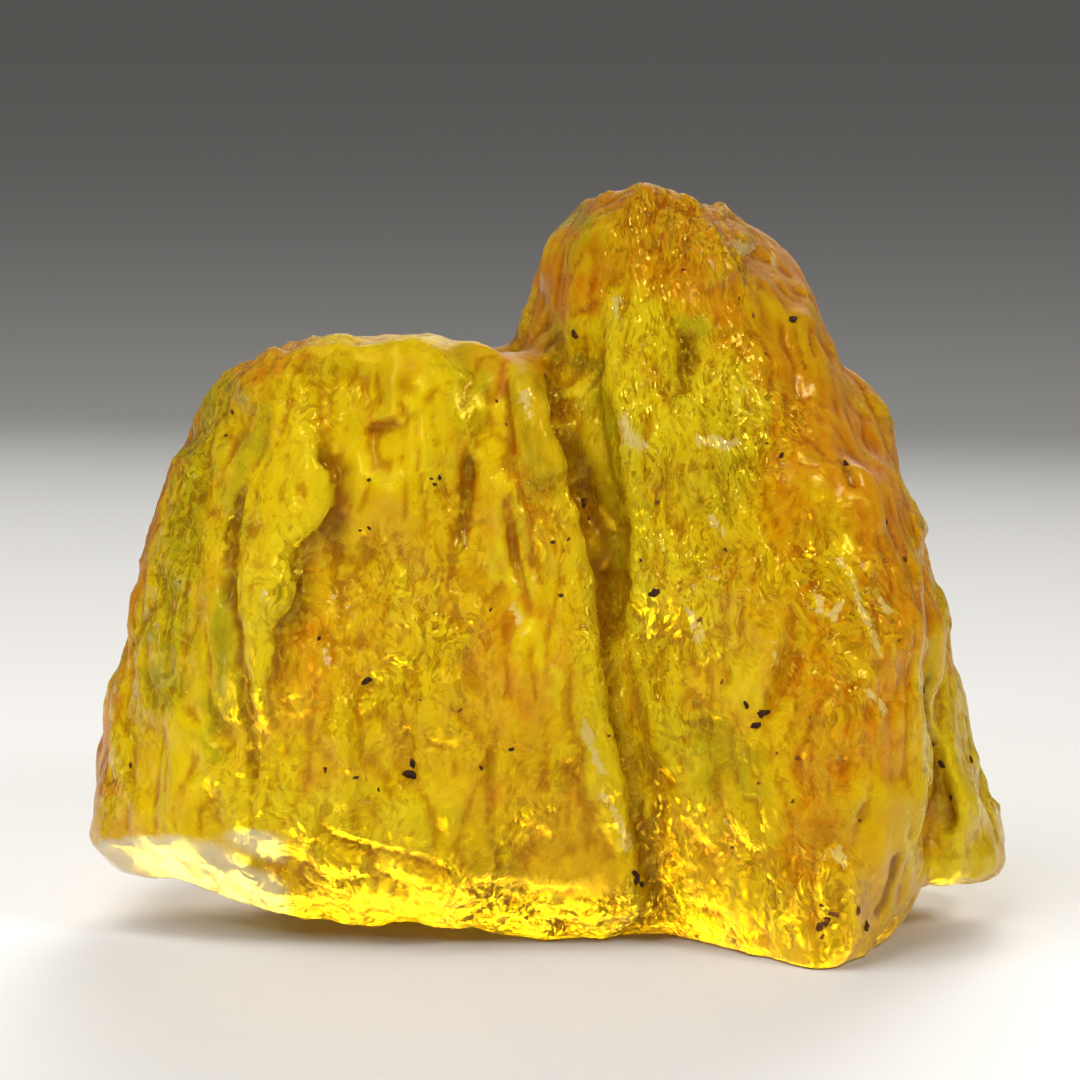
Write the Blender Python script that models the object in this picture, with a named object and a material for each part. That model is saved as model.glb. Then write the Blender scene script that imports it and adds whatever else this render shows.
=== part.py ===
"""A raw lump of amber that stands on a flat natural break.

The lump is two resin flows that ran together, a tall one and a low one, with a small flap on the tall
one's outer foot. Each is lofted from level sections, the three are fused into one solid, and the runs,
ledges, furrows, scoops and breaks of the skin are then carved along paths laid on its surface.
Millimetres are used up to the last step. The front looks along -Y and the origin is at the foot's centre.
"""

import math

import bmesh
import bpy
import numpy as np
from mathutils import Vector, noise
from mathutils.bvhtree import BVHTree

# Driving dimensions, in millimetres
HEIGHT = 49.3
LOW_FLOW_HEIGHT = 39.5
LEFT_SIDE = -30.4
RIGHT_SIDE = 30.4
FRONT_OF_FOOT = -16.2
BACK_OF_FOOT = 13.5
MILLIMETRE = 0.001  # in metres
CUT_DEPTH = 3.0  # how far the flows run on below the flat break that ends them

# How the skin is made
SECTION_POINTS = 72
FUSE_VOXEL = 0.55
CLEAN_VOXEL = 0.36  # closes folds that the carving left
SOFTENING_PASSES = 5
UNSTEADINESS = 0.45  # how far a mark's path strays
STRAY_LENGTH = 2.5
STRAY_LAYER = 0.7  # which level of the noise the paths stray by
FADING_PART = 0.2  # how much of a mark's path fades, at each end
LEFT_AT_ENDS = 0.3
COMING_AND_GOING = 0.7
COMING_AND_GOING_LENGTH = 4.0
RUN_ROUNDNESS = 1.6  # 2 is a bell curve, less is more pointed
LEDGE_EDGE = 0.4  # half the width of a ledge's edge
LEDGE_SUNK_PART = 0.35  # how much of a ledge's height lies below the skin
BREAK_BORDER = 1.25  # where a flat face ends, in reaches
CREASE_STEEPNESS = 2.5
CREASE_MIDDLE = 0.6
PLATE_EDGE = 0.09  # width of the step between two plates, in their sizes
CREASE_SHIFT = 7.3  # shifts keep the creases and plates off the lumps' own pattern
PLATE_SHIFT = 3.1
TRIANGLES = 9300
AMBER_COLOUR = (0.78, 0.42, 0.02, 1.0)
AMBER_ROUGHNESS = 0.3

# Level sections of each flow: height, left, right, front, back, how far the front's crest lies to the
# right of the middle (0 is none, 0.5 the most), and how square the front is (2 is an ellipse)
LOW_FLOW = [
    (-CUT_DEPTH, -5.0, 13.0, -4.6, 7.0, 0.0, 2.6),
    (0.0, -8.5, 13.0, -5.8, 9.0, 0.0, 2.6),
    (0.4, -12.4, 13.0, -7.0, 10.0, 0.0, 2.7),
    (1.1, -17.4, 13.0, -8.5, 10.5, 0.0, 2.8),
    (2.2, -22.9, 12.8, -9.8, 11.2, 0.1, 2.9),
    (3.0, -26.6, 12.5, -10.6, 11.6, 0.1, 3.0),
    (4.0, -29.3, 12.3, -11.2, 12.0, 0.1, 3.0),
    (5.6, LEFT_SIDE, 12.0, -11.9, 12.4, 0.15, 3.0),
    (8.0, -30.2, 11.8, -12.6, 12.8, 0.15, 3.0),
    (10.0, -29.8, 11.6, -13.2, 13.0, 0.2, 3.0),
    (13.0, -29.2, 11.0, -13.7, 13.3, 0.2, 3.0),
    (17.0, -28.4, 10.3, -13.8, 13.3, 0.2, 3.0),
    (20.0, -28.3, 9.6, -13.6, 13.0, 0.2, 3.0),
    (25.0, -26.5, 8.4, -13.0, 12.4, 0.2, 3.0),
    (28.0, -24.9, 7.8, -12.6, 12.0, 0.2, 3.0),
    (30.0, -24.3, 7.3, -12.3, 11.7, 0.2, 2.9),
    (32.0, -23.1, 6.8, -12.2, 11.0, 0.2, 2.8),
    (34.0, -22.3, 6.2, -12.0, 9.5, 0.2, 2.7),
    (35.6, -21.2, 5.2, -11.9, 7.6, 0.15, 2.6),
    (37.0, -20.0, 3.6, -11.7, 4.6, 0.1, 2.5),
    (38.1, -18.6, 1.2, -11.4, 0.6, 0.0, 2.4),
    (38.9, -17.0, -2.0, -11.0, -3.4, 0.0, 2.3),
    (LOW_FLOW_HEIGHT, -14.6, -6.4, -10.4, -7.4, 0.0, 2.2),
]
TALL_FLOW = [
    (-CUT_DEPTH, 7.0, 20.4, -13.6, 11.0, 0.42, 1.3),
    (0.0, 6.0, 21.6, -15.6, 12.0, 0.42, 1.3),
    (1.5, 5.0, 23.0, FRONT_OF_FOOT, 12.8, 0.4, 1.4),
    (3.0, 4.4, 24.2, -16.4, BACK_OF_FOOT, 0.4, 1.5),
    (6.0, 3.8, 25.4, -16.6, 14.0, 0.36, 1.65),
    (10.0, 3.4, 25.6, -16.4, 14.0, 0.32, 1.85),
    (15.0, 2.4, 25.6, -16.0, 14.0, 0.28, 2.0),
    (20.0, 1.2, 25.4, -15.4, 13.5, 0.25, 2.1),
    (25.0, 0.2, 24.7, -14.6, 13.0, 0.22, 2.2),
    (30.0, -0.9, 23.4, -13.6, 12.0, 0.2, 2.25),
    (33.5, -1.6, 21.0, -12.6, 11.0, 0.18, 2.3),
    (36.4, -2.0, 19.1, -11.8, 10.2, 0.15, 2.3),
    (39.3, -1.7, 17.7, -11.3, 9.0, 0.12, 2.3),
    (41.5, -0.9, 17.4, -10.7, 7.8, 0.1, 2.3),
    (43.4, -0.4, 17.2, -10.2, 6.4, 0.1, 2.3),
    (45.0, 0.0, 16.2, -9.9, 4.8, 0.1, 2.3),
    (46.4, 0.5, 14.0, -9.5, 2.8, 0.05, 2.2),
    (47.7, 1.6, 11.2, -9.0, 0.6, 0.0, 2.2),
    (48.7, 2.8, 8.2, -8.2, -2.4, 0.0, 2.1),
    (HEIGHT, 4.0, 6.4, -7.2, -5.0, 0.0, 2.0),
]
FLAP = [
    (2.3, 19.0, 28.4, -3.6, 6.4, 0.0, 2.4),
    (2.9, 18.0, 30.2, -5.5, 8.0, 0.0, 2.4),
    (4.2, 18.0, RIGHT_SIDE, -6.6, 9.0, 0.0, 2.4),
    (6.5, 18.0, 29.8, -7.2, 9.4, 0.0, 2.4),
    (10.0, 18.0, 28.5, -7.5, 9.5, 0.0, 2.4),
    (13.0, 18.0, 27.5, -7.2, 9.2, 0.0, 2.4),
    (17.0, 18.0, 26.6, -6.5, 8.5, 0.0, 2.4),
    (20.5, 18.0, 25.9, -5.6, 7.6, 0.0, 2.4),
    (23.5, 18.0, 24.6, -4.0, 6.0, 0.0, 2.4),
    (26.0, 18.0, 23.0, -2.0, 4.0, 0.0, 2.4),
]
BACK_SQUARENESS = 2.7

# Sides that a path can be laid from: the way it is thrown at the lump, and what its two numbers are
OUTSIDE = 120  # a distance at which nothing of the lump is
FRONT = {"way": Vector((0, 1, 0)), "place": lambda a, b: Vector((a, -OUTSIDE, b))}
BACK = {"way": Vector((0, -1, 0)), "place": lambda a, b: Vector((a, OUTSIDE, b))}
LEFT = {"way": Vector((1, 0, 0)), "place": lambda a, b: Vector((-OUTSIDE, a, b))}
RIGHT = {"way": Vector((-1, 0, 0)), "place": lambda a, b: Vector((OUTSIDE, a, b))}
TOP = {"way": Vector((0, 0, -1)), "place": lambda a, b: Vector((a, b, OUTSIDE))}

# Runs and furrows: side, half width, height (a furrow's is negative), and the path
RUNS = [
    (FRONT, 1.25, -1.3, [(-0.2, 40.6), (0.3, 36.4), (1.1, 33.2), (2.3, 30.0), (3.2, 26.2), (3.6, 22.9),
                        (4.4, 19.4), (5.5, 14.6), (6.1, 11.4), (6.5, 7.5), (7.1, 1.4)]),
    (FRONT, 1.6, 0.8, [(-1.5, 39.6), (-1.4, 36.2), (-0.6, 32.4), (0.6, 28.5), (1.4, 24.6), (2.2, 20.8),
                       (3.4, 16.9), (4.3, 12.6), (4.9, 8.2), (5.4, 3.9)]),
    (FRONT, 1.0, -0.8, [(-3.4, 39.1), (-3.4, 36.2), (-3.1, 32.4), (-2.4, 28.5), (-1.6, 24.6), (-0.6, 21.3),
                        (0.8, 16.9), (2.4, 11.1), (3.4, 6.8)]),
    (FRONT, 0.9, 0.7, [(-3.9, 34.8), (-3.4, 30.9), (-2.9, 27.0), (-2.6, 23.7)]),
    (FRONT, 1.0, -0.7, [(-4.9, 34.3), (-5.3, 31.2), (-5.6, 27.3), (-5.8, 23.2), (-5.4, 19.3)]),
    (FRONT, 2.4, 0.45, [(-7.2, 37.2), (-7.8, 29.0), (-7.2, 18.4), (-5.6, 7.7)]),
    (FRONT, 1.3, -0.65, [(-19.9, 34.8), (-20.3, 29.0), (-20.5, 24.1), (-20.7, 20.3), (-20.2, 15.5),
                        (-19.5, 10.1)]),
    (FRONT, 2.0, 0.4, [(-22.8, 29.9), (-23.3, 23.2), (-23.5, 16.4), (-23.8, 10.6)]),
    (FRONT, 2.2, 0.45, [(-16.8, 33.8), (-17.4, 27.0), (-17.8, 20.3), (-17.2, 13.5)]),
    (FRONT, 1.5, -0.32, [(-10.4, 36.7), (-10.8, 29.9), (-11.0, 24.1), (-11.2, 17.4), (-11.8, 8.7)]),
    (FRONT, 1.6, 0.21, [(-13.4, 21.3), (-13.8, 13.5), (-14.4, 7.7)]),
    (FRONT, 1.4, -0.24, [(-3.9, 17.4), (-2.8, 10.6), (-1.7, 3.9)]),
    (FRONT, 1.5, 0.9, [(4.6, 39.6), (5.0, 34.8), (5.5, 29.9), (6.1, 24.2), (6.9, 19.3), (7.9, 14.5),
                       (8.6, 9.7), (9.2, 5.5), (9.8, 2.0)]),
    (FRONT, 1.3, -0.55, [(7.5, 39.1), (8.1, 35.3), (7.9, 30.9), (8.6, 26.1)]),
    (FRONT, 2.0, -0.32, [(9.5, 25.6), (10.8, 19.3), (11.6, 13.5), (11.8, 7.7), (11.2, 2.9)]),
    (FRONT, 2.2, 0.35, [(15.5, 37.2), (17.5, 29.5), (19.4, 21.3), (20.8, 14.5)]),
    (FRONT, 1.4, -0.24, [(12.6, 38.6), (14.0, 31.9), (15.2, 24.1), (15.6, 16.4), (15.2, 9.7)]),
    (FRONT, 1.1, -1.3, [(24.4, 20.8), (24.9, 17.7), (25.5, 14.0), (25.8, 9.7), (25.2, 6.3), (23.9, 3.1)]),
    (FRONT, 1.8, 0.35, [(21.3, 31.9), (22.6, 25.1), (23.4, 18.4)]),
    (BACK, 2.2, -1.12, [(4.0, 42.5), (2.5, 34.8), (-0.5, 27.0), (-2.0, 18.4), (-1.0, 9.7), (0.5, 1.9)]),
    (BACK, 2.3, 0.7, [(7.5, 40.6), (6.5, 31.9), (4.0, 23.2), (3.2, 13.5), (4.2, 4.8)]),
    (BACK, 1.5, -0.7, [(12.0, 42.5), (13.5, 32.8), (12.5, 23.2), (13.0, 12.6)]),
    (BACK, 1.8, 0.63, [(17.5, 33.8), (18.5, 24.1), (19.5, 13.5), (19.0, 5.8)]),
    (BACK, 1.5, -0.7, [(-8.0, 35.7), (-8.5, 27.0), (-10.5, 18.4), (-10.0, 8.7)]),
    (BACK, 2.4, 0.7, [(-13.5, 34.8), (-14.5, 25.1), (-15.5, 14.5)]),
    (BACK, 1.4, -0.7, [(-19.5, 31.9), (-20.0, 23.2), (-20.5, 12.6)]),
    (LEFT, 1.4, -0.63, [(-3.5, 32.8), (-4.5, 24.1), (-5.0, 14.5)]),
    (LEFT, 1.8, 0.56, [(1.0, 32.8), (0.0, 23.2), (1.0, 11.6)]),
    (LEFT, 1.5, -0.7, [(5.5, 30.9), (5.0, 21.3), (6.0, 11.6)]),
    (RIGHT, 1.5, -0.7, [(-5.0, 36.7), (-6.0, 29.0), (-8.0, 21.3)]),
    (RIGHT, 1.8, 0.56, [(0.5, 38.6), (0.0, 29.0), (1.0, 19.3), (2.0, 8.7)]),
    (RIGHT, 1.4, -0.63, [(5.0, 34.8), (6.0, 25.1), (5.5, 14.5), (6.0, 5.8)]),
    (TOP, 1.6, -0.7, [(-4.6, -7.0), (-4.4, 0.0), (-3.8, 7.0)]),
    (TOP, 1.3, -0.49, [(-19.5, -4.0), (-12.0, -1.5), (-6.0, -2.5)]),
    (TOP, 1.2, -0.42, [(3.0, -8.0), (6.5, -2.0), (11.0, 1.0), (14.0, 5.0)]),
]

# Ledges, where one thin run stops over another: side, reach, height, and the path. Seen from outside,
# the skin on the path's left hand is the raised one.
LEDGES = [
    (FRONT, 3.4, 1.2, [(7.2, 2.4), (6.4, 8.2), (5.9, 12.4), (5.0, 16.9), (3.8, 21.7), (3.0, 26.6),
                       (1.9, 31.0), (0.7, 35.2), (0.0, 38.6)]),
    (FRONT, 3.0, 0.8, [(-17.4, 14.5), (-17.2, 18.8), (-16.2, 21.3), (-16.5, 23.7), (-15.2, 26.6),
                       (-14.2, 29.9), (-14.6, 33.3), (-15.5, 36.2)]),
    (FRONT, 2.2, 0.55, [(-9.6, 26.1), (-9.6, 29.9), (-11.6, 32.3), (-13.6, 31.9)]),
    (FRONT, 2.2, 0.5, [(-13.2, 8.7), (-11.4, 11.6), (-11.8, 15.5), (-13.0, 18.4)]),
    (FRONT, 2.4, 0.5, [(-19.5, 7.3), (-12.0, 5.6), (-4.0, 4.8), (3.0, 4.3), (6.5, 4.3)]),
    (FRONT, 2.2, 0.7, [(10.6, 41.7), (12.2, 43.1), (13.4, 44.2)]),
    (FRONT, 2.2, 0.55, [(8.4, 32.3), (10.6, 35.2), (13.6, 34.0), (14.4, 30.5)]),
    (FRONT, 2.2, 0.6, [(18.4, 7.2), (20.0, 11.1), (19.6, 15.5), (20.6, 19.3)]),
    (FRONT, 2.2, 0.5, [(13.4, 12.6), (13.0, 16.4), (14.2, 20.3)]),
    (BACK, 3.4, 1.0, [(14.5, 17.4), (17.0, 21.7), (15.5, 27.0), (11.5, 29.9)]),
    (BACK, 3.2, 0.9, [(-4.5, 13.5), (-6.5, 19.3), (-5.5, 25.1), (-8.5, 29.5)]),
    (LEFT, 2.6, 0.8, [(-7.0, 16.4), (-3.0, 18.4), (2.0, 17.4), (7.0, 19.3)]),
    (RIGHT, 2.6, 0.8, [(-9.0, 24.1), (-3.0, 26.6), (3.0, 25.1), (8.0, 27.5)]),
]

# Scoops and pits: centre of the mark on the skin, its radius and depth
SCOOPS = [
    ((-24.5, -9.0, 30.4), 4.2, 1.0),
    ((-29.0, 1.0, 19.8), 4.8, 1.2),
    ((-25.0, 9.0, 25.1), 6.5, 1.6),
    ((-8.0, 13.0, 31.9), 6.5, 1.6),
    ((-17.0, 13.5, 10.6), 7.5, 1.8),
    ((9.0, 13.5, 20.3), 7.0, 1.5),
    ((20.0, 12.0, 29.9), 6.0, 1.3),
    ((22.5, 9.0, 7.7), 6.5, 1.6),
    ((24.5, 0.0, 28.5), 4.0, 0.8),
    ((1.6, -10.4, 38.3), 2.4, 0.9),
    ((14.6, -10.0, 40.6), 3.0, 0.6),
    ((9.6, -15.0, 29.5), 3.2, 0.8),
    ((-12.5, -13.0, 25.1), 3.4, 0.7),
    ((-8.0, -14.0, 13.0), 3.4, 0.7),
    ((21.5, -13.0, 4.8), 3.0, 0.9),
    ((6.5, -10.5, 4.8), 1.2, 0.5),
    ((-9.0, 4.0, 39.1), 4.0, 0.8),
    ((8.0, 4.5, 45.9), 3.6, 0.8),
]

# Flat faces: a point on each, the way it faces, how far it reaches from that point, and how far it is
# rounded into its neighbours. The worn ones have the skin's unevenness on them, the fresh ones don't.
WORN_FACES = [
    ((-20.9, -12.0, 19.3), (-0.74, -0.66, 0.12), 15.0, 0.5),
    ((2.6, -4.0, 47.2), (-0.66, -0.22, 0.72), 5.5, 0.4),
    ((15.2, -4.0, 43.0), (0.62, -0.30, 0.72), 6.0, 0.5),
    ((-10.0, 11.0, 35.0), (-0.10, 0.72, 0.68), 12.0, 0.7),
    ((16.0, 8.6, 38.4), (0.42, 0.66, 0.62), 10.0, 0.7),
    ((-27.0, 9.0, 12.0), (-0.70, 0.70, -0.12), 14.0, 0.7),
    ((24.5, 10.0, 12.0), (0.66, 0.74, -0.10), 12.0, 0.7),
]
FRESH_BREAKS = [
    ((-22.6, -10.5, 6.5), (-0.37, -0.54, -0.76), 13.0, 0.25),
    ((-9.3, -10.5, 3.0), (-0.10, -0.60, -0.79), 8.0, 0.25),
    ((27.5, -4.0, 3.2), (0.12, -0.30, -0.95), 4.0, 0.3),
    ((-18.0, 10.6, 4.2), (-0.20, 0.52, -0.83), 12.0, 0.4),
]

# Unevenness of the skin: size across, size up and down, height. Lumps are round, creases are sharp
# along their bottoms, and plates are flat, tilted and broken off at their edges.
LUMPS = [(9.0, 13.0, 0.55), (3.2, 5.5, 0.16), (1.7, 3.0, 0.1)]
CREASES = [(5.0, 11.0, 0.4), (2.6, 5.0, 0.35)]
PLATES = [(6.5, 11.0, 0.75), (3.0, 5.0, 0.42)]


def clear_scene():
    for thing in list(bpy.data.objects):
        bpy.data.objects.remove(thing, do_unlink=True)


def amber_material():
    material = bpy.data.materials.new("amber")
    material.use_nodes = True
    shader = material.node_tree.nodes["Principled BSDF"]
    shader.inputs["Base Color"].default_value = AMBER_COLOUR
    shader.inputs["Roughness"].default_value = AMBER_ROUGHNESS
    shader.inputs["Metallic"].default_value = 0.0
    return material


def section_ring(left, right, front, back, lean, squareness):
    """Corners of one level section: a squarish oval whose front crest may lie off the middle."""
    angles = np.arange(SECTION_POINTS) * (2 * math.pi / SECTION_POINTS)
    at_front = np.sin(angles) < 0
    power = 2.0 / np.where(at_front, squareness, BACK_SQUARENESS)
    across = np.sign(np.cos(angles)) * np.abs(np.cos(angles)) ** power
    deep = np.sign(np.sin(angles)) * np.abs(np.sin(angles)) ** power
    across = across + np.where(at_front, lean, 0) * (1 - across ** 2)
    x = (left + right) / 2 + across * (right - left) / 2
    y = (front + back) / 2 + deep * (back - front) / 2
    return zip(x, y)


def add_flow(shape, sections):
    """Lofts a closed flow through its sections, from the lowest up."""
    rings = []
    for height, *sides in sections:
        rings.append([shape.verts.new((x, y, height)) for x, y in section_ring(*sides)])
    for below, above in zip(rings, rings[1:]):
        for i in range(SECTION_POINTS):
            j = (i + 1) % SECTION_POINTS
            shape.faces.new((below[i], below[j], above[j], above[i]))
    shape.faces.new(list(reversed(rings[0])))
    shape.faces.new(rings[-1])


def apply_modifiers(piece):
    """Gives the piece the mesh that its modifiers make, and takes the modifiers off."""
    graph = bpy.context.evaluated_depsgraph_get()
    finished = bpy.data.meshes.new_from_object(piece.evaluated_get(graph))
    piece.modifiers.clear()
    piece.data = finished


def put_in_order(mesh):
    """Numbers the corners and faces by their place, as the fusing numbers them anew in each run."""
    points = np.array([corner.co for corner in mesh.vertices])
    order = np.lexsort(points.T)
    rank = np.empty(len(order), int)
    rank[order] = np.arange(len(order))
    faces = []
    for face in mesh.polygons:
        corners = [int(rank[i]) for i in face.vertices]
        first = corners.index(min(corners))
        faces.append(corners[first:] + corners[:first])
    ordered = bpy.data.meshes.new("amber")
    ordered.from_pydata(points[order].tolist(), [], sorted(faces))
    return ordered


def fuse(piece, voxel):
    """Makes one closed skin of even, small faces round all that the piece holds."""
    skin = piece.modifiers.new("skin", "REMESH")
    skin.mode = "VOXEL"
    skin.voxel_size = voxel
    apply_modifiers(piece)
    piece.data = put_in_order(piece.data)


def fused_flows():
    """The three flows as one piece."""
    shape = bmesh.new()
    add_flow(shape, LOW_FLOW)
    add_flow(shape, TALL_FLOW)
    add_flow(shape, FLAP)
    mesh = bpy.data.meshes.new("flows")
    shape.to_mesh(mesh)
    shape.free()
    piece = bpy.data.objects.new("amber", mesh)
    bpy.context.scene.collection.objects.link(piece)
    fuse(piece, FUSE_VOXEL)
    return piece


def smooth_steps(start, end, values):
    t = np.clip((values - start) / (end - start), 0, 1)
    return t * t * (3 - 2 * t)


def tilted_plate(place, middle):
    """How high a plate's own slope carries it at this place, from its middle."""
    return (2 * noise.cell_vector(middle) - Vector((1, 1, 1))).dot(place - middle)


class Skin:
    """The corners of a fused mesh as arrays, with what is needed to carve along them."""

    def __init__(self, mesh):
        self.points = np.array([corner.co for corner in mesh.vertices])
        self.faces = np.array([face.vertices[:] for face in mesh.polygons])
        sides = np.concatenate([self.faces[:, (i, (i + 1) % 4)] for i in range(4)])
        self.edges = np.unique(np.sort(sides, axis=1), axis=0)
        self.settle()

    def sum_at_corners(self, corners, values):
        """Adds up the rows of values that belong to each corner."""
        sums = [np.bincount(corners, column, len(self.points)) for column in values.T]
        return np.array(sums).T

    def settle(self):
        """Works out the skin's direction at each corner, as the corners lie now."""
        quads = self.points[self.faces]
        facing = np.cross(quads[:, 2] - quads[:, 0], quads[:, 3] - quads[:, 1])
        sums = sum(self.sum_at_corners(self.faces[:, i], facing) for i in range(4))
        self.normals = sums / np.linalg.norm(sums, axis=1)[:, None]
        self.tree = BVHTree.FromPolygons(self.points.tolist(), self.faces.tolist())

    def soften(self, passes):
        ends = np.concatenate((self.edges, self.edges[:, ::-1]))
        neighbours = np.bincount(ends[:, 0], minlength=len(self.points))[:, None]
        for _ in range(passes):
            middles = self.sum_at_corners(ends[:, 0], self.points[ends[:, 1]]) / neighbours
            self.points = (self.points + middles) / 2
        self.settle()

    def push(self, heights):
        """Moves each corner out along the skin's own direction there."""
        self.points = self.points + self.normals * heights[:, None]

    def laid_path(self, side, path):
        """The path's points on the skin, a millimetre or so apart and a little unsteady, with the skin's
        direction at each."""
        laid = []
        for (a0, b0), (a1, b1) in zip(path, path[1:]):
            steps = max(1, round(math.hypot(a1 - a0, b1 - b0)))
            for i in range(steps):
                t = i / steps
                a, b = a0 + (a1 - a0) * t, b0 + (b1 - b0) * t
                place = Vector((a / STRAY_LENGTH, b / STRAY_LENGTH, STRAY_LAYER))
                stray = UNSTEADINESS * noise.noise(place)
                laid.append(side["place"](a + stray, b))
        laid.append(side["place"](*path[-1]))
        hits = [self.tree.ray_cast(point, side["way"]) for point in laid]
        hits = [hit for hit in hits if hit[0] is not None]
        return np.array([hit[0] for hit in hits]), np.array([hit[1] for hit in hits])

    def nearest_on(self, line):
        """For each corner: its distance from the line, and which of the line's points is nearest."""
        gaps = np.linalg.norm(self.points[:, None, :] - line[None, :, :], axis=2)
        return gaps.min(axis=1), gaps.argmin(axis=1)

    def strength(self, line):
        """How strongly a mark is cut at each of its points: it comes and goes, and fades at both ends."""
        along = np.linspace(0, 1, len(line))
        ends = smooth_steps(0, FADING_PART, along) * smooth_steps(0, FADING_PART, 1 - along)
        places = line / COMING_AND_GOING_LENGTH
        comes_and_goes = np.array([noise.noise(Vector(place)) for place in places])
        faded = LEFT_AT_ENDS + (1 - LEFT_AT_ENDS) * ends
        return faded * (1 + COMING_AND_GOING * comes_and_goes)

    def run(self, side, half_width, height, path):
        line, _ = self.laid_path(side, path)
        distance, nearest = self.nearest_on(line)
        across = np.exp(-((distance / half_width) ** RUN_ROUNDNESS))
        self.push(height * self.strength(line)[nearest] * across)

    def ledge(self, side, reach, height, path):
        line, outward = self.laid_path(side, path)
        distance, nearest = self.nearest_on(line)
        ahead = np.gradient(line, axis=0)
        left_hand = np.cross(outward, ahead)
        left_hand /= np.linalg.norm(left_hand, axis=1)[:, None]
        offset = ((self.points - line[nearest]) * left_hand[nearest]).sum(axis=1)
        fade = np.exp(-((distance / reach) ** 2))
        step = smooth_steps(-LEDGE_EDGE, LEDGE_EDGE, offset) - LEDGE_SUNK_PART
        self.push(height * self.strength(line)[nearest] * fade * step)

    def scoop(self, centre, radius, depth):
        distance = np.linalg.norm(self.points - np.array(centre), axis=1)
        self.push(-depth * np.clip(1 - (distance / radius) ** 2, 0, 1))

    def break_off(self, point, facing, reach, rounding):
        """Brings what stands past the plane near the point back to it, with a rounded edge."""
        facing = np.array(facing) / np.linalg.norm(facing)
        away = self.points - np.array(point)
        past = (away * facing).sum(axis=1)
        kept = np.minimum(past, -rounding * np.log1p(np.exp(-past / rounding)))
        near = 1 - smooth_steps(reach, BREAK_BORDER * reach, np.linalg.norm(away, axis=1))
        self.points = self.points + facing * ((kept - past) * near)[:, None]

    def lumps(self, across, upright, height):
        scale = np.array((1 / across, 1 / across, 1 / upright))
        self.push(height * np.array([noise.noise(Vector(place)) for place in self.points * scale]))

    def creases(self, across, upright, height):
        scale = np.array((1 / across, 1 / across, 1 / upright))
        places = self.points * scale + CREASE_SHIFT
        values = np.array([noise.noise(Vector(place)) for place in places])
        self.push(height * (np.minimum(np.abs(values) * CREASE_STEEPNESS, 1) - CREASE_MIDDLE))

    def plates(self, across, upright, height):
        scale = np.array((1 / across, 1 / across, 1 / upright))
        heights = []
        for place in self.points * scale + PLATE_SHIFT:
            gaps, middles = noise.voronoi(Vector(place))
            first, second = (tilted_plate(Vector(place), middle) for middle in middles[:2])
            edge = min((gaps[1] - gaps[0]) / PLATE_EDGE, 1)
            heights.append((first * (1 + edge) + second * (1 - edge)) / 2)
        self.push(height * np.array(heights))


def carve(piece):
    skin = Skin(piece.data)
    skin.soften(SOFTENING_PASSES)
    skin.lumps(*LUMPS[0])
    skin.settle()
    skin.creases(*CREASES[0])
    skin.settle()
    skin.plates(*PLATES[0])
    skin.settle()
    for mark in RUNS:
        skin.run(*mark)
        skin.settle()
    for mark in LEDGES:
        skin.ledge(*mark)
    for mark in SCOOPS:
        skin.scoop(*mark)
    for face in WORN_FACES:
        skin.break_off(*face)
    skin.settle()
    skin.creases(*CREASES[1])
    skin.settle()
    skin.plates(*PLATES[1])
    skin.settle()
    for lump in LUMPS[1:]:
        skin.lumps(*lump)
        skin.settle()
    for face in FRESH_BREAKS:
        skin.break_off(*face)
    piece.data.vertices.foreach_set("co", skin.points.ravel())
    piece.data.update()


def thin_out(piece):
    """Keeps the skin's form with far fewer faces."""
    piece.data.calc_loop_triangles()
    thin = piece.modifiers.new("thin", "DECIMATE")
    thin.ratio = TRIANGLES / len(piece.data.loop_triangles)
    apply_modifiers(piece)


def joined_corners(start):
    """All corners that edges join to this one."""
    found, todo = {start}, [start]
    while todo:
        corner = todo.pop()
        for edge in corner.link_edges:
            other = edge.other_vert(corner)
            if other not in found:
                found.add(other)
                todo.append(other)
    return found


def drop_crumbs(shape):
    """Keeps the largest body only: the flat cut can leave a crumb beside the foot."""
    left = set(shape.verts)
    bodies = []
    for corner in shape.verts:
        if corner in left:
            body = joined_corners(corner)
            left -= body
            bodies.append(body)
    largest = max(bodies, key=len)
    crumbs = [corner for corner in shape.verts if corner not in largest]
    bmesh.ops.delete(shape, geom=crumbs, context="VERTS")


def stand_on_foot(piece):
    """Cuts the foot off flat at height 0, puts the origin under the middle, and sets real metres."""
    shape = bmesh.new()
    shape.from_mesh(piece.data)
    everything = shape.verts[:] + shape.edges[:] + shape.faces[:]
    cut = bmesh.ops.bisect_plane(shape, geom=everything, plane_co=(0, 0, 0), plane_no=(0, 0, 1),
                                 clear_inner=True)
    rim = [part for part in cut["geom_cut"] if isinstance(part, bmesh.types.BMEdge)]
    bmesh.ops.holes_fill(shape, edges=rim)
    drop_crumbs(shape)
    bmesh.ops.triangulate(shape, faces=shape.faces[:])
    bmesh.ops.recalc_face_normals(shape, faces=shape.faces[:])
    points = np.array([corner.co for corner in shape.verts])
    middle = (points.min(axis=0) + points.max(axis=0)) / 2
    bmesh.ops.translate(shape, vec=(-middle[0], -middle[1], 0), verts=shape.verts[:])
    bmesh.ops.scale(shape, vec=(MILLIMETRE, MILLIMETRE, MILLIMETRE), verts=shape.verts[:])
    shape.to_mesh(piece.data)
    shape.free()


def main():
    clear_scene()
    piece = fused_flows()
    carve(piece)
    fuse(piece, CLEAN_VOXEL)
    thin_out(piece)
    stand_on_foot(piece)
    piece.data.materials.clear()
    piece.data.materials.append(amber_material())
    piece.data.shade_smooth()


main()
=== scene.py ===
import math

import bpy
import numpy as np
from mathutils import Matrix, Vector, noise
from mathutils.bvhtree import BVHTree
from mathutils.kdtree import KDTree


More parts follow.
